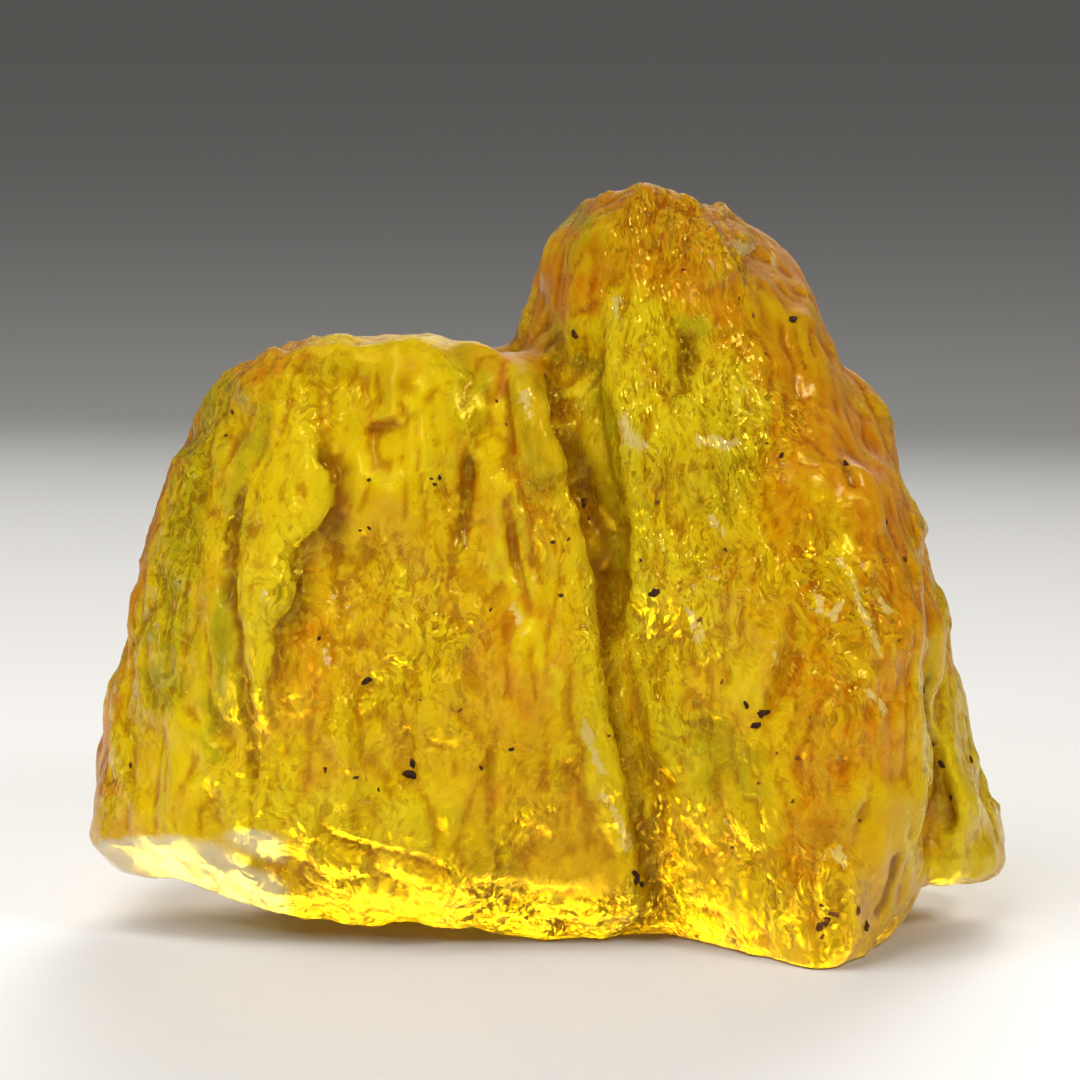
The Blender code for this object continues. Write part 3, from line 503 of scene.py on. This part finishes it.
def addMarks(skin):
    surface = skin.surface()
    heights = np.zeros(len(skin.points))
    for width, height, path in folds.values():
        line, _ = layOnFront(surface, path)
        corners, gaps, nearest = skin.near(line, drawing["reach"] * width)
        heights[corners] += height * strengths(line)[nearest] * np.exp(-(gaps / width) ** 2)
    for reach, height, path in lips.values():
        line, outward = layOnFront(surface, path)
        corners, gaps, nearest = skin.near(line, drawing["reach"] * reach)
        ahead = np.gradient(np.array(line), axis=0)
        leftHand = np.cross(np.array(outward), ahead)
        leftHand /= np.linalg.norm(leftHand, axis=1)[:, None]
        away = skin.points[corners] - np.array(line)[nearest]
        offset = (away * leftHand[nearest]).sum(axis=1)
        step = smoothStep(-drawing["lipEdge"], drawing["lipEdge"], offset) - drawing["lipSunk"]
        profile = step * np.exp(-(gaps / reach) ** 2)
        heights[corners] += height * strengths(line)[nearest] * profile
    skin.marks = np.clip(heights / drawing["fullMark"], -1, 1)
    skin.push(heights)


def walkUp(skin, start, steps, lean, turn):  # a line up the skin that leans and turns
    place, normal = Vector(skin.points[start]), Vector(skin.normals[start])
    line = []
    for _ in range(steps):
        line.append(place)
        lean += turn
        sideways = normal.cross(Vector((0, 0, 1)))
        if sideways.length < wrinkles["level"]:  # there no way is up
            sideways = Vector((1, 0, 0))
        sideways.normalize()
        upwards = sideways.cross(normal)
        ahead = upwards * math.cos(lean) - sideways * math.sin(lean)
        place = place + ahead * wrinkles["step"]
        spot, i, _ = skin.tree.find(place)
        normal = Vector(skin.normals[i])
        place = place - normal * (place - spot).dot(normal)
    return line


def addWrinkles(skin):
    chance = np.random.RandomState(wrinkles["seed"])
    heights = np.zeros(len(skin.points))
    for start in chance.randint(0, len(skin.points), wrinkles["count"]):
        length = chance.uniform(*wrinkles["length"]) * chance.uniform(*wrinkles["shortened"])
        width = chance.uniform(*wrinkles["width"])
        height = wrinkles["height"] * chance.uniform(*wrinkles["lowered"])
        height *= 1 if chance.uniform() < wrinkles["ridges"] else wrinkles["groove"]
        turn = chance.normal(0, wrinkles["turn"])
        lean = chance.normal(0, wrinkles["lean"])
        steps = max(wrinkles["fewestSteps"], round(length / wrinkles["step"]))
        line = walkUp(skin, start, steps, lean, turn)
        along = (np.arange(len(line)) + 0.5) / len(line)
        fade = np.sin(np.pi * along) ** wrinkles["fade"]
        corners, gaps, nearest = skin.near(line, wrinkles["reach"] * width)
        heights[corners] += height * fade[nearest] * np.exp(-(gaps / width) ** 2)
    skin.push(np.clip(heights, -wrinkles["limit"], wrinkles["limit"]) * skin.crumpled)


def addGrain(skin):
    across, upright, height = lump["grain"]
    values = skin.softNoise(across, upright, noiseShifts["grain"])
    skin.push(height * (lump["grainLevel"] - creased(values)) * skin.crumpled)


def strokeMask(skin, strokes, sway):
    flat = (skin.points + sway)[:, (0, 2)]
    mask = np.zeros(len(flat))
    for width, strength, path in strokes:
        gap = np.full(len(flat), np.inf)
        for start, end in zip(np.array(path), np.array(path[1:])):
            along = end - start
            t = np.clip((flat - start) @ along / (along @ along), 0, 1)
            gap = np.minimum(gap, np.hypot(*(flat - start - t[:, None] * along).T))
        mask = np.maximum(mask, strength * np.exp(-(gap / width) ** 2))
    return mask


def crumpling(skin):
    sway = skin.swayed(*crumples["sway"], noiseShifts["crumples"])
    across, upright, height = crumples["patches"]
    patches = height * skin.softNoise(across, upright, noiseShifts["patches"])
    added = strokeMask(skin, crumples["more"], sway) - strokeMask(skin, crumples["less"], sway)
    return np.clip(crumples["usual"] + patches + added, crumples["least"], 1)


def cloudiness(skin):
    values = np.full(len(skin.points), lump["cloudMiddle"])
    for k, (across, height) in enumerate(lump["clouds"]):
        upright = across * lump["cloudStretch"]
        values += height * skin.softNoise(across, upright, noiseShifts["clouds"] + k)
    return values


def flowPlaces(skin):  # places for the fine pattern, drawn out and leaning the way the resin ran
    bent = skin.points
    for size, reach, shift in lump["bends"]:
        bent = bent + skin.swayed(size, size, reach, shift)
    lean = lump["lean"] * smoothStep(*lump["leanAcross"], skin.points[:, 0])
    leaning = bent[:, 0] + lean * bent[:, 2]
    return np.column_stack([leaning, bent[:, 1], bent[:, 2] * lump["drawnOut"]])


# how the tones, with their painted light and shade, are laid on the skin
toning = {
    "closeIn": ("brown", "glint"),  # painted shade and highlights, kept on the front and close to their paths
    "front": (-0.1, 0.3),      # how squarely a place faces the front to be partly, wholly on it
    "sway": (1.5, 1.4),        # of the strokes' edges: size, reach
    "closeSway": (1.5, 0.3),
    "clouded": {"orange": 0.9, "olive": 0.9, "pale": 0.7},  # share of the clouds in the strokes
    "furrows": [(60, 0.5)],    # passes of blurring, and the depth that counts in full
    "hollows": [(3, 0.06), (14, 0.15)],
    "roughness": 0.12,
    "cloudRoughness": (0.35, 0.65, 0.12),  # clouds' values where it starts and is full; share
    "plainRoughness": 0.14,    # added where the skin isn't crumpled
    "cloudGloss": (0.45, 0.6, 0.15),
    "cleanPart": (0.5, 0.85),  # freshness where the skin starts to look clean, and is clean
    "cleanGloss": 0.5,         # share of the roughness that is taken off there
    # in the order laid: tone, what it follows, the values where it starts and is full, share
    "layers": [
        ("golden", "clouds", (0.4, 0.62), 1),
        ("orange", "orange strokes", (0.65, 1.25), 1),
        # partly painted shade: the olive strokes
        ("olive", "olive strokes", (0.6, 1.3), 1),
        # partly painted light: the pale strokes
        ("pale", "pale strokes", (0.55, 1.25), 1),
        # painted highlight on raised folds and lips, painted shade in sunken ones
        ("pale", "raised marks", (0.15, 0.8), 0.7),
        ("brown", "sunken marks", (0.12, 0.7), 0.75),
        # painted shade: brown along the furrow's strokes and in the large furrows
        ("brown", "brown strokes", None, 0.9),
        ("brown", "furrows", (0.3, 1.0), 0.5),
        # painted shade: the deep strokes
        ("deep", "deep strokes", None, 1),
        # painted shade: the hollows darkened
        ("shaded", "hollows", (0.1, 1.0), 1),
        # painted highlight: the bulges made paler
        ("pale", "bulges", (0.2, 1.0), 0.22),
        # partly painted light: the fresh break near white
        ("clean", "clean break", None, 1)],
}


def laidStrokes(skin):
    front = smoothStep(*toning["front"], -skin.formNormals()[:, 1])
    masks = {}
    for k, (name, strokes) in enumerate(tones.items()):
        closeIn = name in toning["closeIn"]
        size, reach = toning["closeSway" if closeIn else "sway"]
        sway = skin.swayed(size, size, reach, noiseShifts["toneStep"] * k)
        masks[name] = strokeMask(skin, strokes, sway) * (front if closeIn else 1)
    return masks


def cloudShare(clouds, name):
    start, end, share = toning[name]
    return smoothStep(start, end, clouds) * share


def hollowness(skin, name):
    return sum(skin.hollows(passes) / depth for passes, depth in toning[name])


def paintTones(skin):  # colour with painted light and shade, roughness and gloss at each corner
    look = amberFinish
    masks = laidStrokes(skin)
    clouds = cloudiness(skin)
    fresh = skin.fresh()
    clean = smoothStep(*toning["cleanPart"], fresh)
    hollows = hollowness(skin, "hollows")
    followed = {
        "clouds": clouds, "raised marks": skin.marks, "sunken marks": -skin.marks,
        "furrows": hollowness(skin, "furrows"), "hollows": hollows, "bulges": -hollows,
        "clean break": clean}
    for name, mask in masks.items():
        followed[name + " strokes"] = mask + toning["clouded"].get(name, 0) * clouds
    colour = np.tile(look["yellow"][:3], (len(clouds), 1))
    for name, source, span, share in toning["layers"]:
        values = followed[source] if span is None else smoothStep(*span, followed[source])
        # the shaded layer multiplies by the painted shade; the others blend towards a tone
        laid = colour * look["shade"] if name == "shaded" else np.array(look[name][:3])
        colour += (laid - colour) * (values * share)[:, None]
    plain = (1 - skin.crumpled) * toning["plainRoughness"]
    roughness = cloudShare(clouds, "cloudRoughness") + plain + toning["roughness"]
    skin.storeColour("tone", colour)
    skin.store("rough", roughness * (1 - clean * toning["cleanGloss"]))
    skin.store("gloss", cloudShare(clouds, "cloudGloss"))
    skin.store("glint", masks["glint"])
    skin.store("crumpled", skin.crumpled * (1 - fresh))
    skin.storePlaces("flow", flowPlaces(skin))


def makeLump():
    piece = copyOfNode("amber", "raw_amber")
    applyModifier(piece, "REMESH", mode="VOXEL", voxel_size=lump["cornerSpacing"] * mm)
    factor, passes = lump["smoothing"]
    applyModifier(piece, "SMOOTH", factor=factor, iterations=passes)
    skin = Skin(piece)
    skin.crumpled = crumpling(skin)
    addStrands(skin)
    addFlakes(skin, "flakes")
    skin.growTree()
    addMarks(skin)
    addWrinkles(skin)
    addFlakes(skin, "smallFlakes")
    addGrain(skin)
    skin.points[:, 2] = np.maximum(skin.points[:, 2], 0)
    skin.settle()
    paintTones(skin)
    piece.data.shade_smooth()
    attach(piece, "root")
    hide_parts("amber")
    print("lump:", len(piece.data.polygons), "faces")
    return piece, skin


# bits of bark and soil stuck to the skin

bark = {
    "shapes": 4,
    "subdivisions": 2,
    "bumps": [(1.6, 0.9), (3.5, 0.5)],  # of a shape: how fine, how strong
    "flattened": (0.6, 0.42),  # its width and thickness, as shares of its length
    "small": (0.11, 0.2),      # half length
    "large": (0.24, 0.42),
    "elsewhere": 70,           # bits on the sides and back, which the front's list doesn't reach
    "largeShare": 0.15,        # of those
    "facingBack": 0.2,         # how far a place faces the back for a bit to lie there
    "aboveFoot": 1.5,
    "turned": 6.3,             # most that a bit is turned, in radians
    "sunk": 0.35,
    "seed": 23,
    "smallPlaces": [
        (-11.5, 18.0), (-10.8, 11.1), (-12.2, 12.0), (-14.1, 12.5), (-15.7, 27.1), (-11.9, 27.5),
        (-11.3, 27.7), (-7.4, 30.9), (-6.9, 30.9), (-7.2, 30.5), (-3.3, 35.6), (-2.7, 34.2),
        (-0.3, 37.0), (2.5, 28.0), (0.2, 26.9), (1.2, 27.1), (0.7, 23.6), (-4.3, 12.5),
        (-2.4, 13.8), (-5.6, 16.3), (3.7, 14.8), (10.8, 18.2), (11.6, 7.3), (14.2, 13.9),
        (15.5, 13.6), (15.2, 10.9), (13.1, 11.9), (19.4, 9.7), (17.0, 4.4), (17.1, 2.3),
        (26.0, 9.2), (24.8, 12.6), (13.6, 33.0), (11.9, 41.9), (12.8, 40.8), (8.4, 43.7),
        (13.6, 38.4), (14.5, 32.3), (6.7, 29.3), (11.0, 26.5), (21.2, 27.9), (-20.2, 34.4),
        (-20.6, 32.9), (-23.5, 23.7), (-11.3, 30.7), (9.4, 22.1), (5.7, 25.7), (-8.1, 17.0),
        (-27.0, 11.4), (-3.7, 22.6), (22.4, 25.5), (21.9, 20.8), (-14.5, 20.7)],
    "largePlaces": [
        (-8.8, 12.0), (-8.6, 12.7), (2.2, 29.0), (5.5, 4.8), (5.9, 4.4), (5.4, 5.3), (17.4, 3.4),
        (17.0, 3.0), (17.8, 3.9), (19.3, 4.0), (19.9, 2.7), (27.6, 10.9), (12.3, 16.9),
        (12.9, 15.6), (13.3, 16.4), (6.5, 23.7), (1.6, 39.5), (25.4, 11.3), (18.6, 31.6),
        (23.7, 17.0), (-11.5, 18.1), (15.4, 40.3)],
}


def makeBarkShape(chance, name):
    deselectAll()
    bpy.ops.mesh.primitive_ico_sphere_add(subdivisions=bark["subdivisions"], radius=1)
    shape = bpy.context.active_object
    shape.name = name
    shift = Vector(chance.uniform(0, 50, 3))
    width, thickness = bark["flattened"]
    for corner in shape.data.vertices:
        bumps = [strength * noise.noise(corner.co * fineness + shift)
                 for fineness, strength in bark["bumps"]]
        corner.co *= 1 + sum(bumps)
        corner.co.y *= width
        corner.co.z *= thickness
    return shape


def barkSpots(skin, chance):  # where each bit lies, the way the skin faces, half the bit's length
    surface = skin.surface()
    spots = []
    for size in ("small", "large"):
        for x, z in bark[size + "Places"]:
            place, outward, _, _ = surface.ray_cast(Vector((x, beforeFront, z)), Vector((0, 1, 0)))
            if place is not None:
                spots.append((place, outward, chance.uniform(*bark[size])))
    away = (skin.normals[:, 1] > bark["facingBack"]) & (skin.points[:, 2] > bark["aboveFoot"])
    unseen = [i for i in chance.permutation(len(skin.points)) if away[i]]
    for i in unseen[:bark["elsewhere"]]:
        size = "large" if chance.uniform() < bark["largeShare"] else "small"
        spots.append((Vector(skin.points[i]), Vector(skin.normals[i]), chance.uniform(*bark[size])))
    return spots


def makeBark(skin):
    chance = np.random.RandomState(bark["seed"])
    shapes = [makeBarkShape(chance, "bit_" + str(k)) for k in range(bark["shapes"])]
    spots = barkSpots(skin, chance)
    lift = Vector((0, 0, bark["flattened"][1] * (1 - 2 * bark["sunk"])))
    bits = []
    for k, (place, outward, size) in enumerate(spots):
        bit = bpy.data.objects.new("bark", shapes[k % len(shapes)].data.copy())
        bpy.context.scene.collection.objects.link(bit)
        spin = Matrix.Rotation(chance.uniform(0, bark["turned"]), 3, "Z")
        turned = outward.to_track_quat("Z", "Y").to_matrix() @ spin
        for corner in bit.data.vertices:
            corner.co = (place + turned @ (corner.co + lift) * size) * mm
        bits.append(bit)
    for shape in shapes:
        bpy.data.objects.remove(shape)
    deselectAll()
    for bit in bits:
        bit.select_set(True)
    bpy.context.view_layer.objects.active = bits[0]
    bpy.ops.object.join()
    piece = bpy.context.active_object
    piece.name = "bark_bits"
    piece.data.shade_smooth()
    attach(piece, "root")
    print("bark:", len(spots), "bits")
    return piece


# shader maths

class Wire:
    def __init__(self, shader, socket):
        self.shader = shader
        self.socket = socket

    def __add__(self, other):
        return self.shader.maths("ADD", self, other)

    __radd__ = __add__

    def __mul__(self, other):
        return self.shader.maths("MULTIPLY", self, other)

    __rmul__ = __mul__

    def __sub__(self, other):
        return self.shader.maths("SUBTRACT", self, other)

    def __rsub__(self, other):
        return self.shader.maths("SUBTRACT", other, self)


class Shader:
    def __init__(self, name):
        self.material = bpy.data.materials.new(name)
        self.material.use_nodes = True
        self.tree = self.material.node_tree
        self.tree.nodes.clear()

    def node(self, kind, settings, sockets, out=0):
        made = self.tree.nodes.new("ShaderNode" + kind)
        for name, value in settings.items():
            setattr(made, name, value)
        for name, value in sockets.items():
            if isinstance(value, Wire):
                self.tree.links.new(value.socket, made.inputs[name])
            else:
                made.inputs[name].default_value = value
        return Wire(self, made.outputs[out])

    def maths(self, operation, *values):
        return self.node("Math", {"operation": operation}, dict(enumerate(values)))

    def vectorMaths(self, operation, *values, out=0):
        return self.node("VectorMath", {"operation": operation}, dict(enumerate(values)), out)

    def blend(self, factor, first, second):
        sockets = {0: factor, 6: first, 7: second}
        return self.node("Mix", {"data_type": "RGBA"}, sockets, out=2)

    def between(self, value, low, high):  # 0 below low, 1 above high, soft between
        sockets = {"Value": value, "From Min": low, "From Max": high}
        return self.node("MapRange", {"interpolation_type": "SMOOTHSTEP"}, sockets)

    def noise(self, place, scale, detail):
        return self.node("TexNoise", {}, {"Vector": place, "Scale": scale, "Detail": detail})

    def onLine(self, values, width):  # 1 on the thin winding lines where the values cross a half
        return 1 - self.between(self.maths("ABSOLUTE", values - 0.5), 0, width)

    def facets(self, place):  # small flat pieces, each tilted its own way: heights and chances
        middle = (0.5, 0.5, 0.5)
        cell = self.vectorMaths("FLOOR", place)
        chances = self.node("TexWhiteNoise", {"noise_dimensions": "3D"}, {"Vector": cell}, out=1)
        tilt = self.vectorMaths("SUBTRACT", chances, middle)
        away = self.vectorMaths("SUBTRACT", self.vectorMaths("FRACTION", place), middle)
        height = self.vectorMaths("DOT_PRODUCT", away, tilt, out=1)
        return height, self.node("SeparateXYZ", {}, {0: chances})

    def stored(self, name, out=2):  # 0 for a colour, 1 for places, 2 for values
        return self.node("Attribute", {"attribute_name": name}, {}, out)

    def dress(self, piece, surface, volume=None):
        output = self.tree.nodes.new("ShaderNodeOutputMaterial")
        self.tree.links.new(surface.socket, output.inputs["Surface"])
        if volume:
            self.tree.links.new(volume.socket, output.inputs["Volume"])
        piece.data.materials.clear()
        piece.data.materials.append(self.material)


amberFinish = {
    "yellow": (0.94, 0.72, 0.004, 1),
    "golden": (0.86, 0.49, 0.004, 1),
    "orange": (0.76, 0.26, 0.002, 1),
    # olive: partly the amber's own tone, partly painted shade
    "olive": (0.44, 0.44, 0.006, 1),
    # pale: mostly painted light and highlights, partly paler skin
    "pale": (0.98, 0.82, 0.014, 1),
    "shade": (0.62, 0.38, 0.3),  # painted shade: what the hollows' colour is multiplied by
    # brown: painted shade in furrows, grooves and creases
    "brown": (0.22, 0.08, 0.002, 1),
    # deep: painted shade, along the bottom, by the furrow and on facets
    "deep": (0.40, 0.22, 0.002, 1),
    # cream: the colour of the painted highlights
    "cream": (0.98, 0.84, 0.32, 1),
    # clean: near white on the fresh break, partly its bare surface, partly painted light coming
    # through it
    "clean": (1.0, 0.96, 0.78, 1),
    "reflected": (1.0, 0.78, 0.08, 1),
    "crestHighlights": (1.4, 0.08, 0.4),  # painted highlights: lines of pale on crests; scale of their noise, half width, share
    "creaseShade": (1.7, 0.05, 0.6),  # painted shade: lines of brown in creases; the same
    "shown": (0.44, 0.54),       # values of the other noise where a line starts, and is whole
    "facetTurn": (0.7, 0.5, 0.4),
    "facetScale": (2.6, 2.6, 2.6),
    "facetPale": 0.45,           # share of pale on the palest facets: painted light, as the chance that pales them also tilts them
    "facetDeep": 0.8,            # share of deep on the deepest: painted shade on the facets tilted the other way
    "glintCrests": 0.8,          # how far the crests break up a glint
    "glintTilts": 0.9,           # how far the facets do
    "glint": (0.84, 1.06, 0.8),  # painted highlight: values where a glint starts, and is whole; share of cream
    "bumpHeight": 1.8,
    "bumpStrength": 0.9,
    "bumpDistance": 0.15 * mm,
    "transmission": 0.62,
    "ior": 1.54,
    "coatRoughness": 0.1,
    "absorbed": (0.99, 0.86, 0.25, 1),  # what a length of 1 / density lets through
    "density": 35.0,
}


def paintAmber(piece):
    look = amberFinish
    shader = Shader("amber")
    crumpled = shader.stored("crumpled")
    flow = shader.stored("flow", out=1)
    crestScale, crestWidth, crestShare = look["crestHighlights"]
    creaseShadeScale, creaseShadeWidth, creaseShadeShare = look["creaseShade"]
    glintStart, glintWhole, glintShare = look["glint"]
    crestValues = shader.noise(flow, crestScale, 0.0)
    creaseShadeValues = shader.noise(flow, creaseShadeScale, 0.0)
    crestHighlights = shader.onLine(crestValues, crestWidth) * shader.between(creaseShadeValues, *look["shown"])
    creaseShade = shader.onLine(creaseShadeValues, creaseShadeWidth) * shader.between(crestValues, *look["shown"])
    turned = {"Vector": flow, "Rotation": look["facetTurn"], "Scale": look["facetScale"]}
    tilts, chances = shader.facets(shader.node("Mapping", {}, turned))
    # painted highlights: cream glints where the strokes, crests and facet heights add up, with coat
    # gloss
    glint = shader.stored("glint") + crestValues * look["glintCrests"] + tilts * look["glintTilts"]
    glint = shader.between(glint, glintStart, glintWhole)
    colour = shader.stored("tone", out=0)
    # painted light and shade on the fine pattern: facets, creases, crests and glints
    for tone, share in (
            ("pale", shader.between(chances, 0.5, 1.0) * crumpled * look["facetPale"]),
            ("deep", shader.between(chances, 0.5, 0.0) * crumpled * look["facetDeep"]),
            ("brown", creaseShade * crumpled * creaseShadeShare),
            ("pale", crestHighlights * crumpled * crestShare),
            ("cream", glint * glintShare)):
        colour = shader.blend(share, colour, look[tone])
    bump = shader.node("Bump", {}, {
        "Height": tilts * look["bumpHeight"] * crumpled,
        "Strength": look["bumpStrength"],
        "Distance": look["bumpDistance"],
    })
    surface = shader.node("BsdfPrincipled", {}, {
        "Base Color": colour,
        "Roughness": shader.stored("rough"),
        "IOR": look["ior"],
        "Transmission Weight": look["transmission"],
        "Specular Tint": look["reflected"],
        "Coat Weight": shader.stored("gloss") + glint,
        "Coat Roughness": look["coatRoughness"],
        "Normal": bump,
    })
    depth = shader.node("VolumeAbsorption", {}, {
        "Color": look["absorbed"], "Density": look["density"]})
    shader.dress(piece, surface, depth)


barkFinish = {
    "dark": (0.034, 0.013, 0.005, 1),
    "light": (0.2, 0.07, 0.015, 1),
    "fibres": (3000.0, 3.0),  # scale and detail of the noise
    "kinds": (210.0, 1.0),
    "fibreShare": 0.5,
    "mixed": (0.65, 0.95),    # values where the light tone starts, and is full
    "bumpStrength": 0.6,
    "bumpDistance": 0.04 * mm,
    "roughness": 0.75,
    "shine": 0.2,
}


def paintBark(piece):
    look = barkFinish
    shader = Shader("bark")
    place = shader.node("TexCoord", {}, {}, out=3)
    fibres = shader.noise(place, *look["fibres"])
    kinds = shader.noise(place, *look["kinds"])
    lightness = shader.between(fibres * look["fibreShare"] + kinds, *look["mixed"])
    bump = shader.node("Bump", {}, {
        "Height": fibres, "Strength": look["bumpStrength"], "Distance": look["bumpDistance"]})
    surface = shader.node("BsdfPrincipled", {}, {
        "Base Color": shader.blend(lightness, look["dark"], look["light"]),
        "Roughness": look["roughness"],
        "Specular IOR Level": look["shine"],
        "Normal": bump,
    })
    shader.dress(piece, surface)


# the studio, in metres

studio = {
    "floorColour": (0.68, 0.67, 0.655, 1),
    "floorSize": 20.0,
    "floorDrop": 0.05 * mm,  # keeps the floor clear of the foot's own face
    "skyColour": (1.0, 0.98, 0.95, 1),
    "skyStrength": 0.13,
    "cameraTarget": (-0.0006, 0.001, 0.0252),
    "cameraDistance": 0.3,
    "cameraElevation": 8.0,
    "lens": 152.8,
    "sensor": 36,
    "nearClip": 0.01,
    # name: place, aimed at, width, height, watts, colour
    "lights": {
        "back_panel": ((0.05, 0.30, 0.17), (0, 0, 0.02), 0.40, 0.22, 0.39, (1.0, 0.99, 0.96)),
        "overhead": ((-0.14, -0.18, 0.34), (0, 0, 0.01), 0.30, 0.30, 1.25, (1.0, 1.0, 1.0)),
        "front": ((0.20, -0.20, 0.22), (0, 0, 0.025), 0.07, 0.07, 0.45, (1.0, 0.98, 0.95)),
        "front_left": ((-0.14, -0.26, 0.20), (0, 0, 0.025), 0.04, 0.04, 0.15, (1.0, 0.98, 0.95)),
        "low_left": ((-0.17, -0.24, 0.03), (-0.02, 0, 0.01), 0.12, 0.05, 0.08, (1.0, 1.0, 1.0)),
    },
    "spreads": {"back_panel": 45},  # degrees; the other lights spread all round
    "glossy": ("front", "front_left"),  # the others give no white glare on the rim
}


def makeFloor():
    deselectAll()
    low = (0, 0, -studio["floorDrop"])
    bpy.ops.mesh.primitive_plane_add(size=studio["floorSize"], location=low)
    floor = bpy.context.active_object
    floor.name = "floor"
    shader = Shader("floor")
    surface = shader.node("BsdfPrincipled", {}, {
        "Base Color": studio["floorColour"], "Roughness": 1.0, "Specular IOR Level": 0.0})
    shader.dress(floor, surface)


def makeSky():
    world = bpy.data.worlds.new("studio")
    world.use_nodes = True
    background = world.node_tree.nodes["Background"]
    background.inputs["Color"].default_value = studio["skyColour"]
    background.inputs["Strength"].default_value = studio["skyStrength"]
    bpy.context.scene.world = world


def makeLights():
    for name, (place, aim, width, height, watts, colour) in studio["lights"].items():
        bpy.ops.object.light_add(type="AREA", location=place)
        light = bpy.context.active_object
        light.name = name
        light.data.shape = "RECTANGLE"
        light.data.size = width
        light.data.size_y = height
        light.data.energy = watts
        light.data.color = colour
        light.data.spread = math.radians(studio["spreads"].get(name, 180))
        towards = Vector(aim) - Vector(place)
        light.rotation_euler = towards.to_track_quat("-Z", "Y").to_euler()
        light.visible_camera = False
        light.visible_glossy = name in studio["glossy"]
    print("studio: floor, sky and", len(studio["lights"]), "lights")


def makeCamera():
    tilt = math.radians(studio["cameraElevation"])
    back = Vector((0, -math.cos(tilt), math.sin(tilt)))
    place = Vector(studio["cameraTarget"]) + back * studio["cameraDistance"]
    bpy.ops.object.camera_add(location=place)
    camera = bpy.context.active_object
    camera.name = "camera"
    camera.rotation_euler = (-back).to_track_quat("-Z", "Y").to_euler()
    camera.data.sensor_width = studio["sensor"]
    camera.data.lens = studio["lens"]
    camera.data.clip_start = studio["nearClip"]
    bpy.context.scene.camera = camera
    bpy.context.scene.view_settings.view_transform = "Standard"  # keeps the amber's yellow full
    bpy.context.scene.cycles.use_light_tree = False  # quicker, with so few lights
    print("camera:", studio["cameraElevation"], "degrees above the floor")


amber, amberSkin = makeLump()
paintAmber(amber)
paintBark(makeBark(amberSkin))
makeFloor()
makeSky()
makeLights()
makeCamera()
